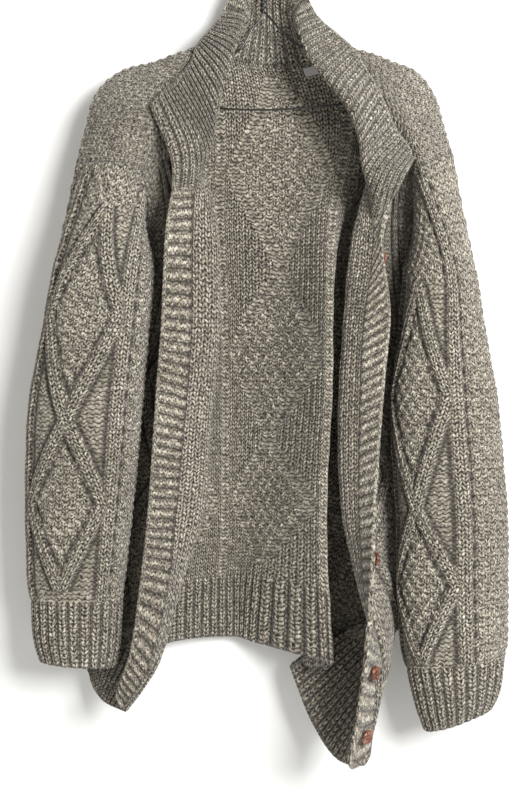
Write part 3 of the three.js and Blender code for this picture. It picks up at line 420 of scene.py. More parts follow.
# The neighbour's outward direction at a seam: one entry for each sewn edge of a piece
def seamsOf(piece):
    side = "right" if piece.endswith("right") else "left"
    backEdge = 0 if side == "right" else backEnd
    split = cloth["frontOfArmhole"]
    full = np.full_like

    def sleeveTop(u, v):
        share = np.mod(u, 1)
        onFront = outward("front_" + side, full(u, 0), np.clip(share / split, 0, 1) * underarm)
        onBack = outward("back", full(u, backEdge), np.clip((1 - share) / (1 - split), 0, 1) * underarm)
        return np.where((share < split)[:, None], onFront, onBack)

    def frontTop(u, v):
        return outward("back", np.abs(backEdge - u * shoulderShare), full(u, 0))

    def frontSide(u, v):
        onSleeve = outward("sleeve_" + side, split * np.clip(v / underarm, 0, 1), full(u, 0))
        onBack = outward("back", full(u, backEdge), v)
        return np.where((v < underarm)[:, None], onSleeve, onBack)

    def frontOpening(u, v):
        share = np.clip(v / bandTop, 0, 1)
        a, b, c, d = neckStops[1:5]
        at = b + (a - b) * share if side == "right" else c + (d - c) * share
        onCollar = outward("collar", at, full(u, 0))
        onBand = outward("band_" + side, full(u, 0), np.maximum(v, bandTop))
        return np.where((v < bandTop)[:, None], onCollar, onBand)

    def bandSeam(u, v):
        return outward("front_" + side, full(u, frontEnd), v)

    def bandEndTop(u, v):
        share = u / bandEnd
        first, last = neckStops[1], neckStops[4]
        at = first * (1 - share) if side == "right" else last + first * share
        return outward("collar", at, full(u, 0))

    def collarFoot(u, v):
        part, names, pu, pv = onNeck(u)
        out = np.zeros((len(u), 3))
        for k, name in enumerate(names):
            chosen = part == k
            if chosen.any():
                out[chosen] = outward(name, pu[chosen], pv[chosen])
        return out

    def backTopSeam(u, v):
        a, b = cloth["neckFrom"], cloth["neckTo"]
        onRight = outward("front_right", np.clip(u / shoulderShare, 0, frontEnd), full(u, 0))
        onLeft = outward("front_left", np.clip((backEnd - u) / shoulderShare, 0, frontEnd), full(u, 0))
        first, last = neckStops[2:4]
        onCollar = outward("collar", first + (last - first) * np.clip((u - a) / (b - a), 0, 1), full(u, 0))
        return np.where((u <= a)[:, None], onRight, np.where((u >= b)[:, None], onLeft, onCollar))

    def backSide(front, sleeveName):
        def at(u, v):
            onSleeve = outward(sleeveName, 1 - (1 - split) * np.clip(v / underarm, 0, 1), full(u, 0))
            return np.where((v < underarm)[:, None], onSleeve, outward(front, full(u, 0), v))
        return at

    return {
        "sleeve": {"top": sleeveTop},
        "front": {"top": frontTop, "start": frontSide, "end": frontOpening},
        "band": {"top": bandEndTop, "start": bandSeam},
        "collar": {"top": collarFoot},
        "back": {
            "top": backTopSeam,
            "start": backSide("front_right", "sleeve_right"),
            "end": backSide("front_left", "sleeve_left"),
        },
    }[piece.split("_")[0]]


# The knitting: widths in stitches, places down in mm
knit = {
    "stitch": 6.25,
    "row": 5.0,
    "cord": 1.08,
    "cordsFrom": 8,
    "besideCord": 3,
    "sleevePanel": 7.2,
    "body": {"crossings": [14, 255, 465, 625], "half": 8, "ribTop": cloth["ribTop"]},
    "sleeveHalf": 6.2,
}


def sleeveChart(share, crossings, ribTop):
    middle = share * cloth["sleeveStitches"]
    return {
        "crossings": crossings, "half": knit["sleeveHalf"], "ribTop": ribTop, "moss": None,
        "cords": [middle - knit["sleevePanel"], middle + knit["sleevePanel"]], "diamonds": [middle],
    }


# Cords and diamonds by the stitch of their middle, moss outside two stitches or above a level
charts = {
    "back": dict(knit["body"], cords=[14, 35, 56, 77], diamonds=[24.5, 45.5, 66.5], moss=[12, 79]),
    "front": dict(knit["body"], cords=[10, 31], diamonds=[20.5], moss=[8, 99], mossTo=125),
    "sleeve_right": sleeveChart(0.205, [45, 282, 478], 490),
    "sleeve_left": sleeveChart(0.38, [125, 378, 552], 556),
}


# How far a diamond's cords have travelled from its middle
def travel(chart, v):
    away = np.zeros_like(v)
    for a, b in zip(chart["crossings"], chart["crossings"][1:]):
        share = (v - a) / (b - a)
        within = (share >= 0) & (share <= 1)
        away = np.where(within, chart["half"] * (1 - np.abs(1 - 2 * share)), away)
    return away


# What is knitted at each place: the distance to the nearest cord, and whether it is moss or rib
def readChart(chart, x, v, around=None):
    away = travel(chart, v)
    plainTo = chart.get("mossTo", knit["cordsFrom"])
    within = (v > max(chart["crossings"][0], plainTo)) & (v < chart["crossings"][-1])
    offset = np.full(x.shape, 99.0)

    def apart(line):
        d = x - line
        return (d + around / 2) % around - around / 2 if around else d

    def nearer(line, allowed):
        d = apart(line)
        return np.where(allowed & (np.abs(d) < np.abs(offset)), d, offset)

    for c in chart["cords"]:
        offset = nearer(c + 0 * x, v > plainTo)
    moss = np.zeros(x.shape, bool)
    for c in chart["diamonds"]:
        for way in (-1, 1):
            offset = nearer(c + way * away, within)
        moss |= within & (np.abs(x - c) < away)
    if chart["moss"] is None:
        outside = np.abs(apart(chart["diamonds"][0])) > knit["sleevePanel"]
        moss |= outside | (v < chart["crossings"][0])
    else:
        moss |= (x < chart["moss"][0]) | (x > chart["moss"][1]) | (v < chart.get("mossTo", 0))
    rib = v > chart["ribTop"]
    line = (np.abs(offset) < knit["cord"]) & ~rib
    return {"offset": offset, "line": line, "moss": moss & ~line & ~rib, "rib": rib}


def ridge(d, half):
    return np.sqrt(np.clip(1 - (d / half) ** 2, 0, 1))


def hump(d, half):
    return np.exp(-((d / half) ** 2))


# A 1x1 rib: broad raised columns at the even numbers with narrow valleys between them
def fromRaised(x):
    return np.mod(x + 1, 2) - 1


ribShape = {
    "height": 1.5, "width": 1.5, "fall": 3.1, "flat": 0.42, "valleyFrom": 0.74,
    "split": 0.5, "splitHalf": 0.16,
}


def ribProfile(x):
    d = np.abs(fromRaised(x))
    fall = ribShape["fall"] * smooth(d, ribShape["flat"], 1.0)
    return ribShape["height"] - fall - ribShape["split"] * hump(d, ribShape["splitHalf"])


# The column across for a rib's V texture, and whether the face lies in a valley
def ribColumn(centreX, cx, side):
    shift = 0 if side > 0 else 1
    fromMiddle = fromRaised(centreX + shift)
    middle = centreX - fromMiddle
    inValley = np.abs(fromMiddle) > ribShape["valleyFrom"]
    return 0.5 + (cx - middle[:, None]) / ribShape["width"], inValley * 1.0


# Heights in mm over the plain cloth, on its outer and its inner side
stand = {
    "rope": 0.35, "moss": 1.55,
    "ground": -0.5, "groove": 1.3, "cordFoot": 0.4, "cord": 3.3, "cordHalf": 1.18,
    "split": 1.5, "splitHalf": 0.24, "mossFoot": 0.25, "mossGroove": 1.7, "grooveAt": 1.5, "grooveHalf": 0.4,
    "innerGround": 0.15, "innerLegs": 0.35, "innerStitch": 0.5, "innerMoss": 0.4,
    "innerCord": -0.2, "innerSplit": 0.6, "innerSplitHalf": 0.4,
    "ribBlend": 6, "ribRope": 0.5,
}


# How far the wool stands off each side of the cloth, in mm; side is 1 outside and -1 inside
def relief(chart, x, v, side, row, around=None):
    read = readChart(chart, x, v, around)
    offset = read["offset"]
    turn = v / row
    ropes = stand["rope"] * np.cos(2 * np.pi * turn)
    moss = stand["moss"] * np.sin(np.pi * x) * np.sin(np.pi * turn / 2) * side
    if side > 0:
        groove = hump(np.abs(offset) - stand["grooveAt"], stand["grooveHalf"])
        ground = stand["ground"] - stand["groove"] * groove + ropes
        split = stand["split"] * hump(offset, stand["splitHalf"])
        cord = stand["cordFoot"] + stand["cord"] * ridge(offset, stand["cordHalf"]) - split + ropes
        moss = moss + stand["mossFoot"] - stand["mossGroove"] * groove
    else:
        legs = stand["innerLegs"] * np.cos(4 * np.pi * x)
        ground = stand["innerGround"] - legs - stand["innerStitch"] * np.cos(2 * np.pi * x)
        cord = stand["innerCord"] + ropes - stand["innerSplit"] * hump(offset, stand["innerSplitHalf"])
        moss = moss + stand["innerMoss"]
    h = np.where(read["line"], cord, np.where(read["moss"], moss, ground))
    fromRib = smooth(v, chart["ribTop"] - stand["ribBlend"], chart["ribTop"] + stand["ribBlend"])
    ribs = ribProfile(x + (0 if side > 0 else 1)) + stand["ribRope"] * ropes
    return h * (1 - fromRib) + ribs * fromRib, read


# Painted shade in deep places, on the cords' flanks and in the inner side's holes: the height where it starts
# and how far below it is darkest, in mm
dusk = {
    "rib": [0.3, 1.5], "outer": [0.1, 2.1], "inner": [-0.3, 1.3],
    "besideAt": 1.4, "besideHalf": 0.3, "beside": 0.12, "holeHalf": 0.5, "hole": 0.25,
}


def depthShade(h, stretch):
    return np.clip((stretch[0] - h) / stretch[1], 0, 1)


# How much painted shade a place gets for its depth, and what kind of stitch each face shows: 0 is knit and 1
# purl
def chartShape(chart, around=None):
    row = chart.get("row", knit["row"])

    def height(x, v, side, toFree):
        h, read = relief(chart, x, v, side, row, around)
        if side > 0:
            beside = hump(np.abs(read["offset"]) - dusk["besideAt"], dusk["besideHalf"])
            inKnit = depthShade(h, dusk["outer"]) + dusk["beside"] * beside
        else:
            holes = hump(read["offset"], dusk["holeHalf"]) * (0.5 - 0.5 * np.cos(np.pi * v / row))
            inKnit = depthShade(h, dusk["inner"]) + dusk["hole"] * holes
        return h, np.clip(np.where(read["rib"], depthShade(h, dusk["rib"]), inKnit), 0, 1)

    def stitches(centreX, centreV, cx, cv, side):
        centre = readChart(chart, centreX, centreV, around)
        corner = readChart(chart, cx.ravel(), cv.ravel(), around)["offset"].reshape(cx.shape)
        follows = centre["line"][:, None] & (np.abs(corner) < knit["besideCord"])
        ribbed, ribs = ribColumn(centreX, cx, side)
        column = np.where(follows, corner, np.where(centre["rib"][:, None], ribbed, cx))
        checker = (np.floor(centreX) + np.floor(centreV / row / 2)) % 2
        kind = np.where(centre["line"], 0.0, np.where(centre["moss"], checker, 1.0))
        kind = kind if side > 0 else 1 - kind
        return column, cv / row, np.where(centre["rib"], ribs, kind)

    return {"height": height, "stitches": stitches}


# Grid lines from stretches of start, end and count
def spaced(*stretches):
    keys = [stretches[0][0]]
    for start, end, count in stretches:
        keys += list(np.linspace(start, end, count + 1)[1:])
    return np.array(keys, float)


# Seams and free edges in mm, and the cloth's small waves
sewing = {"mitre": 7.0, "mitrePower": 1.5, "leanest": 0.62, "flat": 3.0, "round": 2.6}
waves = {"height": 0.5, "across": 9.1, "slant": 23, "down": 13.7, "phase": 1.3}
seamShades = {"bandSide": 0.85, "side": 0.5, "bandTop": 0.15, "top": 0.4}


# The direction across the seam that two edges share, longer where they meet at an angle
def mitred(own, other):
    both = own + other
    length = np.linalg.norm(both, axis=1)
    stretch = np.maximum(length / 2, sewing["leanest"])
    return both / np.maximum(length, 1e-6)[:, None] / stretch[:, None]


# The wall's direction over a piece's grid, turned at each seam to meet the neighbour's
def wallDirection(seams, grid, us, vs, perUnit, fromTop, fromStart):
    def turnTo(edge, distance):
        weight = np.clip(1 - distance / sewing["mitre"], 0, 1) ** sewing["mitrePower"]
        turned_ = grid + (edge - grid) * weight[..., None]
        return turned_ / np.maximum(np.linalg.norm(turned_, axis=2), 0.5)[..., None]

    edge = mitred(grid[0], seams["top"](us / perUnit, np.full(len(us), vs[0])))
    grid = turnTo(edge[None], fromTop)
    if "start" in seams:
        edge = mitred(grid[:, 0], seams["start"](np.full(len(vs), us[0] / perUnit), vs))
        grid = turnTo(edge[:, None], fromStart)
    if "end" in seams:
        edge = mitred(grid[:, -1], seams["end"](np.full(len(vs), us[-1] / perUnit), vs))
        grid = turnTo(edge[:, None], fromStart[:, -1:] - fromStart)
    return grid.reshape(-1, 3)


# The outer faces with the grid steps of their corners, and the faces that join the two sides at the rim
def shellFaces(piece, nu, nv, isTube, outer, out):
    cols = nu if isTube else nu - 1
    j, i = np.meshgrid(np.arange(nv - 1), np.arange(cols), indexing="ij")
    j, i = j.ravel(), i.ravel()
    nextI = (i + 1) % nu
    a, b = j * nu + i, j * nu + nextI
    c, d = (j + 1) * nu + nextI, (j + 1) * nu + i
    if facing[piece] < 0:
        front, corners = np.stack([a, d, c, b], 1), np.array([[0, 0], [0, 1], [1, 1], [1, 0]])
    else:
        front, corners = np.stack([a, b, c, d], 1), np.array([[0, 0], [1, 0], [1, 1], [0, 1]])
    first = outer[front[:, 0]]
    normals = np.cross(outer[front[:, 1]] - first, outer[front[:, 2]] - first)
    if (normals * out[front[:, 0]]).sum() < 0:
        front, corners = front[:, ::-1], corners[::-1]

    n = nu * nv
    rims = [np.arange(nu), np.arange(n - nu, n)]
    if not isTube:
        rims += [np.arange(0, n, nu), np.arange(nu - 1, n, nu)]
    atRim = (j == 0) | (j == nv - 2) | (i == 0) | (i == cols - 1)
    steps = np.stack([front, np.roll(front, -1, 1)], 2)[atRim].reshape(-1, 2)
    forward = set(map(tuple, steps.tolist()))
    joins = []
    for rim in rims:
        ends = np.roll(rim, -1) if isTube else rim[1:]
        for p, q in zip(rim.tolist(), ends.tolist()):
            joins.append([q, p, p + n, q + n] if (p, q) in forward else [p, q, q + n, p + n])
    return front, corners, np.array(joins), i, j


def meshOf(name, points, faces):
    mesh = bpy.data.meshes.new(name)
    mesh.vertices.add(len(points))
    mesh.vertices.foreach_set("co", points.ravel())
    mesh.loops.add(faces.size)
    mesh.loops.foreach_set("vertex_index", faces.ravel())
    mesh.polygons.add(len(faces))
    mesh.polygons.foreach_set("loop_start", np.arange(0, faces.size, 4))
    mesh.update(calc_edges=True)
    mesh.shade_smooth()
    return mesh


# The piece's object: it takes its node's place in the frame
def fitted(name, mesh, replaced):
    obj = bpy.data.objects.new(name, mesh)
    bpy.context.scene.collection.objects.link(obj)
    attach(obj, "root")
    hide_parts(replaced)
    return obj


# One knitted piece as a closed shell on a grid of stitches. shape holds its keys across and down.
def knitShell(name, piece, shape, material):
    us, vs = shape["us"], shape["vs"]
    perUnit = shape.get("perUnit", 1)
    isTube = shape.get("isTube", False)
    columns = us[:-1] if isTube else us
    nu, nv = len(columns), len(vs)
    x, v = (keys.ravel() for keys in np.meshgrid(columns, vs))
    middle = surface[piece](x / perUnit, v)
    seams = seamsOf(piece)
    at = middle.reshape(nv, nu, 3)
    fromTop = np.vstack([np.zeros((1, nu)), np.cumsum(np.linalg.norm(np.diff(at, axis=0), axis=2), 0)])
    fromStart = np.hstack([np.zeros((nv, 1)), np.cumsum(np.linalg.norm(np.diff(at, axis=1), axis=2), 1)])
    toEnd = fromStart[:, -1:] - fromStart
    grid = outward(piece, x / perUnit, v).reshape(nv, nu, 3)
    out = wallDirection(seams, grid, columns, vs, perUnit, fromTop, fromStart)

    # distances to the seams, where the relief is flat and painted with shade, and to the free edges, which
    # are round
    toEdge = {"top": fromTop, "start": fromStart, "end": toEnd}
    toSeam = np.min([toEdge[seam] for seam in seams], axis=0).ravel()
    sewn = np.minimum(1, toSeam / sewing["flat"])
    ownTop = np.clip(1 - fromTop / sewing["flat"], 0, 1).ravel()
    isBand = piece.startswith("band")
    sideShade = seamShades["bandSide" if isBand else "side"] * (1 - sewn) * (ownTop == 0)
    seamShade = np.maximum(sideShade, seamShades["bandTop" if isBand else "top"] * ownTop)
    toFree = fromTop[-1:] - fromTop
    if shape.get("freeSides"):
        for edge in {"start", "end"} - set(seams):
            toFree = np.minimum(toFree, toEdge[edge])
    toFree = toFree.ravel()
    rounding = 0.5 + 0.5 * np.sqrt(1 - (1 - np.minimum(toFree / sewing["round"], 1)) ** 2)

    wave = np.sin(middle[:, 0] / waves["across"] + middle[:, 2] / waves["slant"])
    wave = wave * np.sin(middle[:, 2] / waves["down"] + waves["phase"])
    loose = waves["height"] * wave * sewn
    half = cloth["wall"] / 2 * rounding
    points, paintedShades = [], []
    for side in (1, -1):
        h, deep = shape["height"](x, v, side, toFree)
        lift = side * (half + h * sewn * rounding) + loose
        points.append(middle + out * lift[:, None])
        # painted shade: darker for depth, and along the seams
        paintedShades.append(np.clip(deep + seamShade, 0, 1))
    front, corners, joins, i, j = shellFaces(piece, nu, nv, isTube, points[0], out)
    faces = np.vstack([front, front[:, ::-1] + nu * nv, joins])
    mesh = meshOf(name, np.vstack(points) * 0.001, faces)

    # what the wool material reads: a stitch's place, its kind, and the painted shade of a point for its depth
    # and its nearness to a seam
    cellX = np.stack([us[i], us[i + 1]], 1)
    cellV = np.stack([vs[j], vs[j + 1]], 1)
    uv = np.zeros((len(faces), 4, 2))
    kinds = np.ones(len(faces))
    for s, (side, order) in enumerate(((1, corners), (-1, corners[::-1]))):
        span = slice(s * len(front), (s + 1) * len(front))
        cx = np.take_along_axis(cellX, np.broadcast_to(order[:, 0], (len(i), 4)), 1)
        cv = np.take_along_axis(cellV, np.broadcast_to(order[:, 1], (len(i), 4)), 1)
        made = shape["stitches"](cellX.mean(1), cellV.mean(1), cx, cv, side)
        uv[span, :, 0], uv[span, :, 1], kinds[span] = made
    mesh.uv_layers.new(name="stitches").data.foreach_set("uv", uv.ravel())
    mesh.attributes.new("stitchKind", "FLOAT", "FACE").data.foreach_set("value", kinds)
    mesh.attributes.new("valley", "FLOAT", "POINT").data.foreach_set("value", np.concatenate(paintedShades))
    mesh.materials.append(material)
    obj = fitted(name, mesh, piece)
    print(name, len(faces) * 2, "triangles")


# Adds a node to a tree: a value that is a socket is linked, any other is set
def node(tree, kind, values=None, **settings):
    made = tree.nodes.new(kind)
    for key, value in settings.items():
        setattr(made, key, value)
    for key, value in (values or {}).items():
        if isinstance(value, bpy.types.NodeSocket):
            tree.links.new(value, made.inputs[key])
        else:
            made.inputs[key].default_value = value
    return made


def ramp(tree, value, stops):
    made = node(tree, "ShaderNodeValToRGB", {"Fac": value})
    line = made.color_ramp
    while len(line.elements) < len(stops):
        line.elements.new(0.5)
    for element, (position, colour) in zip(line.elements, stops):
        element.position = position
        element.color = (*colour, 1)
    return made.outputs["Color"]


# The Mix node has sockets of one name for each kind of data; the enabled ones are the colour's
def colourMix(tree, share, a, b):
    made = node(tree, "ShaderNodeMix", data_type="RGBA")
    sockets = [socket for socket in made.inputs if socket.enabled]
    tree.links.new(share, sockets[0])
    sockets[1].default_value = (*a, 1)
    tree.links.new(b, sockets[2])
    return next(socket for socket in made.outputs if socket.enabled)


def newMaterial(name, values):
    material = bpy.data.materials.new(name)
    material.use_nodes = True
    tree = material.node_tree
    tree.nodes.clear()
    shader = node(tree, "ShaderNodeBsdfPrincipled", values)
    output = node(tree, "ShaderNodeOutputMaterial", {"Surface": shader.outputs[0]})
    return material, tree, shader, output


wool = {
    "surface": {"Roughness": 0.95, "Specular IOR Level": 0.15, "Sheen Weight": 0.25, "Sheen Roughness": 0.5},
    "yarn": [
        (0.3, (0.17, 0.145, 0.112)), (0.43, (0.31, 0.272, 0.212)),
        (0.53, (0.48, 0.43, 0.345)), (0.68, (0.79, 0.73, 0.61)),
    ],
    # the darkest colour of the painted shade between the strands and in the valleys
    "deep": (0.016, 0.013, 0.01),
    "slack": {"Scale": 190.0, "Detail": 3.0},
    "slackShares": [0.75, 1.3],  # of a stitch, and of a row
    "fuzz": {"Scale": 700.0, "Detail": 2.0},
    "marl": {"Scale": 230.0, "Detail": 3.0, "Roughness": 0.7, "Distortion": 0.5},
    "drift": {"Scale": 9.0, "Detail": 2.0},
    "driftShare": 0.16,
    "legRise": 0.75, "strandPower": 0.55, "legPower": 0.4, "arcRise": 0.15, "arcPower": 0.6,
    # the shade keys set the painted shade between the strands and how strongly the painted shade of valleys
    # and seams darkens the yarn
    "fray": 0.5, "shadeFrom": 0.22, "shadeGain": 1.75, "shadeLeast": 0.03, "paintedShadeShare": 0.88,
    "bumpFuzz": 0.45, "bump": 0.0017,
}


def woolMaterial():
    material, tree, shader, _ = newMaterial("marledWool", wool["surface"])
    where = node(tree, "ShaderNodeTexCoord").outputs["Object"]

    def calc(operation, *values, clamp=False):
        values = dict(enumerate(values))
        return node(tree, "ShaderNodeMath", values, operation=operation, use_clamp=clamp).outputs[0]

    def noise(name):
        return node(tree, "ShaderNodeTexNoise", {"Vector": where, **wool[name]})

    # 1 halfway and 0 at both ends of each unit
    def peak(value):
        return calc("SUBTRACT", 1.0, calc("ABSOLUTE", calc("MULTIPLY_ADD", value, 2.0, -1.0)))

    def attribute(name):
        return node(tree, "ShaderNodeAttribute", attribute_name=name).outputs["Fac"]

    # the place in its stitch, a little slack
    uv = node(tree, "ShaderNodeUVMap", uv_map="stitches").outputs[0]
    place = node(tree, "ShaderNodeSeparateXYZ", {"Vector": uv})
    slack = node(tree, "ShaderNodeSeparateColor", {"Color": noise("slack").outputs["Color"]})
    x, y = (
        calc("ADD", place.outputs[k], calc("MULTIPLY", calc("SUBTRACT", slack.outputs[k], 0.5), share))
        for k, share in enumerate(wool["slackShares"]))

    # a knit stitch is the two legs of a V, a purl stitch an arc across
    fromCentre = calc("MULTIPLY", calc("ABSOLUTE", calc("SUBTRACT", calc("FRACT", x), 0.5)), 2.0)
    strand = peak(calc("FRACT", calc("MULTIPLY_ADD", fromCentre, wool["legRise"], y)))
    strand = calc("POWER", strand, wool["strandPower"])
    knitHeight = calc("MULTIPLY", strand, calc("POWER", peak(fromCentre), wool["legPower"]))
    sway = calc("COSINE", calc("MULTIPLY", x, 2 * math.pi))
    arc = peak(calc("FRACT", calc("MULTIPLY_ADD", sway, wool["arcRise"], y)))
    height = node(tree, "ShaderNodeMix", {
        "Factor": attribute("stitchKind"), "A": knitHeight, "B": calc("POWER", arc, wool["arcPower"]),
    }, data_type="FLOAT").outputs["Result"]

    # marled yarn with painted shade between the strands, down in the valleys and along the seams
    drift = calc("MULTIPLY_ADD", noise("drift").outputs["Fac"], wool["driftShare"], -wool["driftShare"] / 2)
    yarn = ramp(tree, calc("ADD", noise("marl").outputs["Fac"], drift), wool["yarn"])
    fuzz = noise("fuzz").outputs["Fac"]
    frayed = calc("ADD", height, calc("MULTIPLY_ADD", fuzz, wool["fray"], -wool["fray"] / 2))
    above = calc("SUBTRACT", frayed, wool["shadeFrom"])
    shade = calc("MULTIPLY_ADD", above, wool["shadeGain"], wool["shadeLeast"], clamp=True)
    raised = calc("SUBTRACT", 1.0, calc("MULTIPLY", attribute("valley"), wool["paintedShadeShare"]))
    lit = calc("MULTIPLY", shade, raised, clamp=True)
    tree.links.new(colourMix(tree, lit, wool["deep"], yarn), shader.inputs["Base Color"])
    fuzzy = calc("MULTIPLY_ADD", fuzz, wool["bumpFuzz"], height)
    bump = node(tree, "ShaderNodeBump", {"Strength": 1.0, "Distance": wool["bump"], "Height": fuzzy})
    tree.links.new(bump.outputs[0], shader.inputs["Normal"])
    return material


woolCloth = woolMaterial()
print("wool material made")

frontShape = {
    "us": spaced((0, 1, 6), (1, frontEnd, 148)), "vs": spaced((0, 5, 4), (5, cloth["hem"], 286)),
    "flat": (0.2375, 0.72), "restsOn": ["hanger"],
}
for side in ("right", "left"):
    shape = dict(chartShape(charts["front"]), **frontShape)
    knitShell("frontPanel." + side, "front_" + side, shape, woolCloth)

# The back is finer where it shows between the fronts
backShape = {
    "us": spaced((0, 1, 5), (1, 26, 50), (26, 60, 136), (60, 90, 60), (90, backEnd, 5)),
    "vs": spaced((0, 5, 3), (5, cloth["hem"], 187)),
    "flat": (0.569, 0.72), "restsOn": ["hanger"],
}
knitShell("backPanel", "back", dict(chartShape(charts["back"]), **backShape), woolCloth)

# The sleeves are finer over their fronts
sleeves = {"right": {"length": 566, "rows": 113}, "left": {"length": 628, "rows": 126}}
for side, size in sleeves.items():
    length, rows = size["length"], size["rows"]
    chart = dict(charts["sleeve_" + side], row=length / rows)
    shape = dict(
        chartShape(chart, cloth["sleeveStitches"]), isTube=True, perUnit=cloth["sleeveStitches"],
        us=spaced((0, 27, 108), (27, 46, 19), (46, 48, 6)), vs=spaced((0, length, 2 * rows)),
        flat=(0.3, length / 1000), restsOn=["frontPanel." + side, "backPanel"])
    knitShell("sleeveTube." + side, "sleeve_" + side, shape, woolCloth)


edgeRim = {"at": 1.8, "half": 1.7}


def rim(toFree, height):
    return height * hump(toFree - edgeRim["at"], edgeRim["half"])


# The collar, in stitches picked up round the neck, with painted shade in its ribs' valleys
collarRib = {"stitches": 120, "rows": 25, "rim": 1.2, "fade": [2.0, 5.0], "valley": [0.05, 1.6]}


def collarHeight(x, v, side, toFree):
    h = ribProfile(x + (0 if side > 0 else 1))
    fade = smooth(toFree, *collarRib["fade"])
    return h * fade + rim(toFree, collarRib["rim"]), depthShade(h, collarRib["valley"]) * fade


def collarStitches(centreX, centreV, cx, cv, side):
    column, kind = ribColumn(centreX, cx, side)
    return column, cv * collarRib["rows"], kind


knitShell("collarRib", "collar", {
    "us": spaced((0, collarRib["stitches"], 480)), "vs": spaced((0, 1, 45)), "perUnit": collarRib["stitches"],
    "freeSides": True, "height": collarHeight, "stitches": collarStitches,
    "flat": (0.75, 0.12), "restsOn": ["frontPanel.right", "frontPanel.left", "backPanel"],
}, woolCloth)

# The front bands: ridges across them with moss seeds on top, and painted shade between the ridges
bandRib = {
    "length": 550, "ribs": 96, "ridge": 0.8, "fall": 2.1, "flat": 0.5, "seed": 0.4, "seedsPerStitch": 1.25,
    "rim": 0.9, "fade": [0.5, 3.0], "topFade": 10, "valley": [0.45, 1.6], "plainest": 0.45,
}


def bandColumn(v):
    return (v - bandTop) / bandRib["length"] * bandRib["ribs"]


def bandHeight(x, v, side, toFree):
    column = bandColumn(v)
    fromRidge = np.abs(fromRaised(column + (0 if side > 0 else 1)))
    ridges = bandRib["ridge"] - bandRib["fall"] * smooth(fromRidge, bandRib["flat"], 1.0)
    ridges = ridges * smooth(v, bandTop, bandTop + bandRib["topFade"])
    seeds = bandRib["seed"] * np.sin(np.pi * column) * np.cos(np.pi * x * bandRib["seedsPerStitch"])
    h = (ridges + seeds) * smooth(toFree, *bandRib["fade"]) + rim(toFree, bandRib["rim"])
    return h, depthShade(h, bandRib["valley"])


def bandStitches(centreX, centreV, cx, cv, side):
    seeds = bandRib["seedsPerStitch"]
    checker = (np.floor(bandColumn(centreV) + 0.5) + np.floor(centreX * seeds + 0.5)) % 2
    plainest = bandRib["plainest"]
    return cx * seeds, bandColumn(cv) + 0.5, plainest + (1 - plainest) * checker


for side in ("right", "left"):
    knitShell("frontBand." + side, "band_" + side, {
        "us": spaced((0, 1, 4), (1, bandEnd, 11)), "vs": spaced((bandTop, cloth["hem"], 480)),
        "freeSides": True, "height": bandHeight, "stitches": bandStitches,
        "flat": (0.0375, 0.55), "restsOn": ["frontPanel." + side],
    }, woolCloth)
print("ribbing made")


def plainPiece(name, points, faces, materials, slot, replaced, indices=None):
    mesh = bpy.data.meshes.new(name)
    mesh.from_pydata([tuple(p) for p in np.asarray(points) * 0.001], [], faces)
    mesh.update(calc_edges=True)
    mesh.shade_smooth()
    for material in materials:
        mesh.materials.append(material)
    if indices is not None:
        mesh.polygons.foreach_set("material_index", indices)
    return fitted(name, mesh, replaced)


def circle(radius, z, sides, x=0, y=0):
    turns = [2 * math.pi * n / sides for n in range(sides)]
    return [(x + radius * math.cos(turn), y + radius * math.sin(turn), z) for turn in turns]


# Faces round a stack of circles whose points start at a number, with both ends closed
def stacked(start, circles, sides):
    faces = []
    for low in range(start, start + (circles - 1) * sides, sides):
        for n in range(sides):
            m = (n + 1) % sides
            faces.append((low + n, low + m, low + sides + m, low + sides + n))
    faces.append(tuple(reversed(range(start, start + sides))))
    faces.append(tuple(range(start + (circles - 1) * sides, start + circles * sides)))
    return faces


# Thread along a line
def thread(line, radius, sides):
    line = np.asarray(line, float)
    tangents = np.gradient(line, axis=0)
    tangents /= np.linalg.norm(tangents, axis=1)[:, None]
    across = np.array([0.0, 1.0, 0.0])
    points, faces = [], []
    for place, tangent in zip(line, tangents):
        across = across - tangent * across.dot(tangent)
        across /= np.linalg.norm(across)
        other = np.cross(tangent, across)
        for n in range(sides):
            turn = 2 * math.pi * n / sides
            points.append(place + radius * (across * math.cos(turn) + other * math.sin(turn)))
    for k in range(len(line) - 1):
        for n in range(sides):
            m = (n + 1) % sides
            faces.append((k * sides + n, (k + 1) * sides + n, (k + 1) * sides + m, k * sides + m))
    faces.append(tuple(range(sides)))
    faces.append(tuple(reversed(range((len(line) - 1) * sides, len(line) * sides))))
    return points, faces


# Buttons: mm down the band, stitches across it, and the profile as radius and height
button = {
    "down": [232, 350, 458, 565, 648, 702], "across": 3.0, "seat": 3.45, "sides": 40,
    "profile": [
        (2.0, 0), (1.7, 1.1), (2.0, 2.2), (6.6, 2.2), (7.8, 2.7), (8.4, 3.5), (8.5, 4.4), (8.2, 5.4),
        (7.5, 6.3), (6.4, 6.7), (5.2, 6.3), (4.4, 5.7), (3.0, 5.5),
    ],
    "hole": 0.85, "holesAt": 1.9, "holeSides": 10, "holeHeights": [5.3, 5.62],
    "thread": 0.42, "threadSides": 8, "threadFrom": 5.5, "threadRise": 0.9, "threadPoints": 9,
    "colours": [(0.3, (0.03, 0.008, 0.004)), (0.5, (0.15, 0.042, 0.016)), (0.7, (0.36, 0.14, 0.055))],
    "surface": {"Roughness": 0.28, "Coat Weight": 0.4},
    "swirl": {"Scale": 170.0, "Detail": 4.0, "Distortion": 1.4},
    "threadColour": (0.09, 0.06, 0.045, 1),
}


def buttonMaterial():
    material, tree, shader, _ = newMaterial("mottledButton", button["surface"])
    where = node(tree, "ShaderNodeTexCoord").outputs["Object"]
    swirl = node(tree, "ShaderNodeTexNoise", {"Vector": where, **button["swirl"]})
    tree.links.new(ramp(tree, swirl.outputs["Fac"], button["colours"]), shader.inputs["Base Color"])
    return material


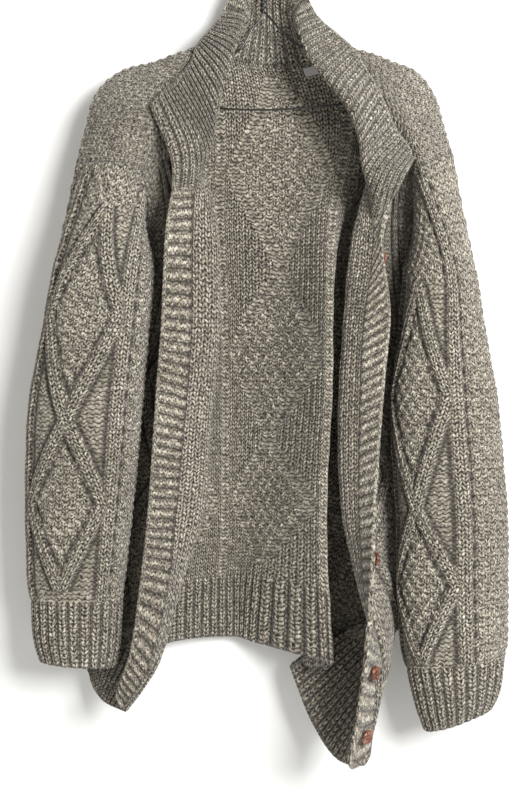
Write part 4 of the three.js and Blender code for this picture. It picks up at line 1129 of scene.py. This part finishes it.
# A button with its face to +z, and each face's material: 0 is the button, 1 its holes and thread
def buttonMesh():
    holesAt, holeSides = button["holesAt"], button["holeSides"]
    points = [p for radius, z in button["profile"] for p in circle(radius, z, button["sides"])]
    faces = stacked(0, len(button["profile"]), button["sides"])
    ownFaces = len(faces)
    for x, y in ((1, 1), (-1, 1), (-1, -1), (1, -1)):
        start = len(points)
        for z in button["holeHeights"]:
            points += circle(button["hole"], z, holeSides, x * holesAt, y * holesAt)
        faces += stacked(start, 2, holeSides)
    for y in (1, -1):
        arch = [
            (x, y * holesAt, button["threadFrom"] + button["threadRise"] * math.sqrt(1 - (x / holesAt) ** 2))
            for x in np.linspace(-holesAt, holesAt, button["threadPoints"])]
        more, bars = thread(arch, button["thread"], button["threadSides"])
        faces += [tuple(k + len(points) for k in face) for face in bars]
        points += more
    return np.array(points), faces, [0] * ownFaces + [1] * (len(faces) - ownFaces)


buttonLooks = [
    buttonMaterial(),
    newMaterial("sewingThread", {"Base Color": button["threadColour"], "Roughness": 0.8})[0],
]
pitch = 2 * bandRib["length"] / bandRib["ribs"]
points, faces, kinds = buttonMesh()
for number, near in enumerate(button["down"], 1):
    down = bandTop + pitch * round((near - bandTop) / pitch)
    at = np.array([button["across"]]), np.array([down])
    spot, out = surface["band_left"](*at)[0], outward("band_left", *at)[0]
    turn = np.array(Vector(out).to_track_quat("Z", "Y").to_matrix())
    plainPiece(
        "sewnButton." + str(number), points @ turn.T + out * button["seat"] + spot, faces, buttonLooks,
        "button", "button_" + str(number), kinds)
print("buttons made")

# The neck label: stitches across the back, mm down it
label = {
    "from": 51.0, "to": 54.8, "top": 5.0, "bottom": 18.0, "thick": 0.6, "lift": 2.6, "across": 21, "down": 14,
    "hem": 0.25, "hemAt": 1.0, "hemHalf": 0.6,
    "surface": {"Base Color": (0.46, 0.45, 0.43, 1), "Roughness": 0.85},
    "weave": {"Scale": 900.0, "Distortion": 0.5}, "bump": {"Strength": 0.25, "Distance": 0.0002},
}


def labelMaterial():
    material, tree, shader, _ = newMaterial("labelCloth", label["surface"])
    where = node(tree, "ShaderNodeTexCoord").outputs["Object"]
    weave = node(tree, "ShaderNodeTexWave", {"Vector": where, **label["weave"]})
    bump = node(tree, "ShaderNodeBump", {"Height": weave.outputs["Fac"], **label["bump"]})
    tree.links.new(bump.outputs[0], shader.inputs["Normal"])
    return material


def labelMesh():
    across, down = label["across"], label["down"]
    us, vs = (keys.ravel() for keys in np.meshgrid(
        np.linspace(label["from"], label["to"], across), np.linspace(label["top"], label["bottom"], down)))
    toSide = np.minimum(us - label["from"], label["to"] - us) * knit["stitch"]
    toEdge = np.minimum(toSide, np.minimum(vs - label["top"], label["bottom"] - vs))
    hem = label["hem"] * hump(toEdge - label["hemAt"], label["hemHalf"])
    onBack, out = surface["back"](us, vs), outward("back", us, vs)
    count = across * down
    faces = []
    for j in range(down - 1):
        for i in range(across - 1):
            a, d = j * across + i, (j + 1) * across + i
            faces += [(a, a + 1, d + 1, d), (d + count, d + 1 + count, a + 1 + count, a + count)]
    edge = [
        *range(across), *range(2 * across - 1, count, across),
        *range(count - 2, count - across - 1, -1), *range(count - 2 * across, 0, -across)]
    faces += [(q, p, p + count, q + count) for p, q in zip(edge, edge[1:] + edge[:1])]
    far = onBack - out * (label["lift"] + label["thick"] + hem)[:, None]
    return np.vstack([onBack - out * label["lift"], far]), faces


labelPiece = plainPiece("neckLabel", *labelMesh(), [labelMaterial()], "label", "neck_label")

# The hanger is one bent wire, from the hook's end down the neck, round by the right arm, the bar and the
# left arm, and up round the neck again
hanger = {
    "wire": 2.4, "sides": 12, "spacing": 1.8, "points": 1600,
    "hookRadius": 20.0, "hookTurn": [200, -28], "hookPoints": 15,
    "underSeam": 4.8, "alongSeam": 5 / 12, "seamPoints": 6,
    "twistRadius": 2.75, "twists": 5, "twistFrom": -107, "twistTo": -74, "twistPoints": 81,
    "neck": [
        [14.5, -37.5], [8, -46.5], [3, -56], [0.5, -65], [0, -74], [0, -83], [0, -92], [0, -101], [0, -110],
    ],
    "armFromNeck": [[-4, -116], [-12, -125], [-20, -140], [-28, -151], [-40, -153]],
    "tipsAndBar": [
        [-170, -190], [-172, -194.5], [-171, -199], [-166, -203], [-158, -206], [-121, -213], [-59, -219],
        [8, -221], [99, -214], [160, -206.5], [169, -204], [176, -200], [178, -196], [178, -191],
    ],
    "armToNeck": [[76, -154], [62, -154.5], [48, -149], [34, -139], [22, -128], [12, -117], [5, -109.5]],
    "steel": {"Base Color": (0.085, 0.083, 0.08, 1), "Roughness": 0.25, "Metallic": 1.0},
}


# A node tree that bends a round wire along the curve that it is given
def wireTree(material):
    tree = bpy.data.node_groups.new("bentWire", "GeometryNodeTree")
    tree.interface.new_socket("Path", in_out="INPUT", socket_type="NodeSocketGeometry")
    thick = tree.interface.new_socket("Wire thickness", in_out="INPUT", socket_type="NodeSocketFloat")
    sides = tree.interface.new_socket("Sides", in_out="INPUT", socket_type="NodeSocketInt")
    spacing = tree.interface.new_socket("Spacing", in_out="INPUT", socket_type="NodeSocketFloat")
    tree.interface.new_socket("Wire", in_out="OUTPUT", socket_type="NodeSocketGeometry")
    given = node(tree, "NodeGroupInput")
    even = node(tree, "GeometryNodeResampleCurve", {
        "Curve": given.outputs["Path"], "Length": given.outputs["Spacing"]}, mode="LENGTH")
    half = node(tree, "ShaderNodeMath", {0: given.outputs["Wire thickness"], 1: 0.5}, operation="MULTIPLY")
    ring = node(tree, "GeometryNodeCurvePrimitiveCircle", {
        "Resolution": given.outputs["Sides"], "Radius": half.outputs[0]})
    bent = node(tree, "GeometryNodeCurveToMesh", {
        "Curve": even.outputs["Curve"], "Profile Curve": ring.outputs["Curve"], "Fill Caps": True})
    round_ = node(tree, "GeometryNodeSetShadeSmooth", {"Geometry": bent.outputs["Mesh"]})
    real = node(tree, "GeometryNodeRealizeInstances", {"Geometry": round_.outputs["Geometry"]})
    faced = node(tree, "GeometryNodeSetMaterial", {
        "Geometry": real.outputs["Geometry"], "Material": material})
    node(tree, "NodeGroupOutput", {"Wire": faced.outputs["Geometry"]})
    return tree, thick.identifier, sides.identifier, spacing.identifier


def bentWire(path, material):
    curve = bpy.data.curves.new("wirePath", "CURVE")
    curve.dimensions = "3D"
    line = curve.splines.new("POLY")
    line.points.add(len(path) - 1)
    for point, place in zip(line.points, path):
        point.co = (*(place * 0.001), 1)
    guide = bpy.data.objects.new("wirePath", curve)
    bpy.context.scene.collection.objects.link(guide)
    tree, *inputs = wireTree(material)
    bend = guide.modifiers.new("bentWire", "NODES")
    bend.node_group = tree
    values = hanger["wire"] * 0.001, hanger["sides"], hanger["spacing"] * 0.001
    for identifier, value in zip(inputs, values):
        bend[identifier] = value
    seen = guide.evaluated_get(bpy.context.evaluated_depsgraph_get())
    mesh = bpy.data.meshes.new_from_object(seen)
    bpy.data.objects.remove(guide)
    return mesh


def wirePath():
    def inPlane(points):
        return [[x, 0, z] for x, z in points]

    def belowSeam(first, last):
        seam = backTop(np.linspace(first, last, hanger["seamPoints"]))
        return [[p[0], 0, p[2] - hanger["underSeam"]] for p in seam]

    radius = hanger["hookRadius"] + hanger["wire"] / 2
    turns = np.radians(np.linspace(*hanger["hookTurn"], hanger["hookPoints"]))
    hook = [[radius * math.cos(t), 0, radius * math.sin(t) - hanger["hookRadius"]] for t in turns]
    length = hanger["alongSeam"] * cloth["neckFrom"]
    rightArm = belowSeam(cloth["neckFrom"], cloth["neckFrom"] - length)
    leftArm = belowSeam(cloth["neckTo"] + length, cloth["neckTo"])
    share = np.linspace(0, 1, hanger["twistPoints"])
    turns = share * hanger["twists"] * 2 * math.pi
    rise = hanger["twistFrom"] + (hanger["twistTo"] - hanger["twistFrom"]) * share
    twist = np.stack([np.cos(turns) * hanger["twistRadius"], np.sin(turns) * hanger["twistRadius"], rise], 1)
    path = np.array(
        hook + inPlane(hanger["neck"] + hanger["armFromNeck"]) + rightArm + inPlane(hanger["tipsAndBar"])
        + leftArm + inPlane(hanger["armToNeck"]) + twist.tolist())
    knots = np.concatenate([[0], np.cumsum(np.linalg.norm(np.diff(path, axis=0), axis=1))])
    return shares(knots, np.linspace(0, knots[-1], hanger["points"])) @ path


hangerSteel = newMaterial("hangerSteel", hanger["steel"])[0]
fitted("wireHanger", bentWire(wirePath(), hangerSteel), "hanger")
print("label and hanger made")

# The backdrop shows only its face, so that the cardigan's back can be looked at too
backdrop = {
    "wall": 0.036, "floor": -1.9, "ceiling": 30, "reach": 40,
    "surface": {"Base Color": (0.8, 0.8, 0.79, 1), "Roughness": 0.9},
}
look, tree, shader, output = newMaterial("paleBackdrop", backdrop["surface"])
behind = node(tree, "ShaderNodeNewGeometry").outputs["Backfacing"]
clear = node(tree, "ShaderNodeBsdfTransparent").outputs[0]
shown = node(tree, "ShaderNodeMixShader", {0: behind, 1: shader.outputs[0], 2: clear})
tree.links.new(shown.outputs[0], output.inputs["Surface"])
wall, floor, reachOut = backdrop["wall"], backdrop["floor"], backdrop["reach"]
mesh = bpy.data.meshes.new("backdrop")
mesh.from_pydata([
    (-reachOut, -reachOut, floor), (reachOut, -reachOut, floor), (reachOut, wall, floor),
    (-reachOut, wall, floor), (-reachOut, wall, backdrop["ceiling"]), (reachOut, wall, backdrop["ceiling"]),
], [], [(0, 1, 2, 3), (3, 2, 5, 4)])
mesh.materials.append(look)
screen = bpy.data.objects.new("backdrop", mesh)
bpy.context.scene.collection.objects.link(screen)
screen.visible_shadow = False  # the lamp behind it reaches the cardigan's back

lights = {
    "window": {"place": (1.15, -2.0, 0.0), "size": 0.8, "power": 70},
    "room": {"place": (-1.4, -2.2, -0.2), "size": 2.2, "power": 5},
    "behind": {"place": (-0.9, 2.2, 0.1), "size": 1.6, "power": 55},
}
aim = Vector((0.0, 0.0, -0.55))
for name, spec in lights.items():
    data = bpy.data.lights.new(name, "AREA")
    data.size = spec["size"]
    data.energy = spec["power"]
    lamp = bpy.data.objects.new(name, data)
    bpy.context.scene.collection.objects.link(lamp)
    lamp.location = spec["place"]
    lamp.rotation_euler = (aim - lamp.location).to_track_quat("-Z", "Y").to_euler()

daylight = {"Color": (1.0, 0.985, 0.96, 1), "Strength": 0.5}
world = bpy.data.worlds.new("paleRoom")
world.use_nodes = True
for key, value in daylight.items():
    world.node_tree.nodes["Background"].inputs[key].default_value = value
bpy.context.scene.world = world
bpy.context.scene.view_settings.view_transform = "Standard"
print("light set")
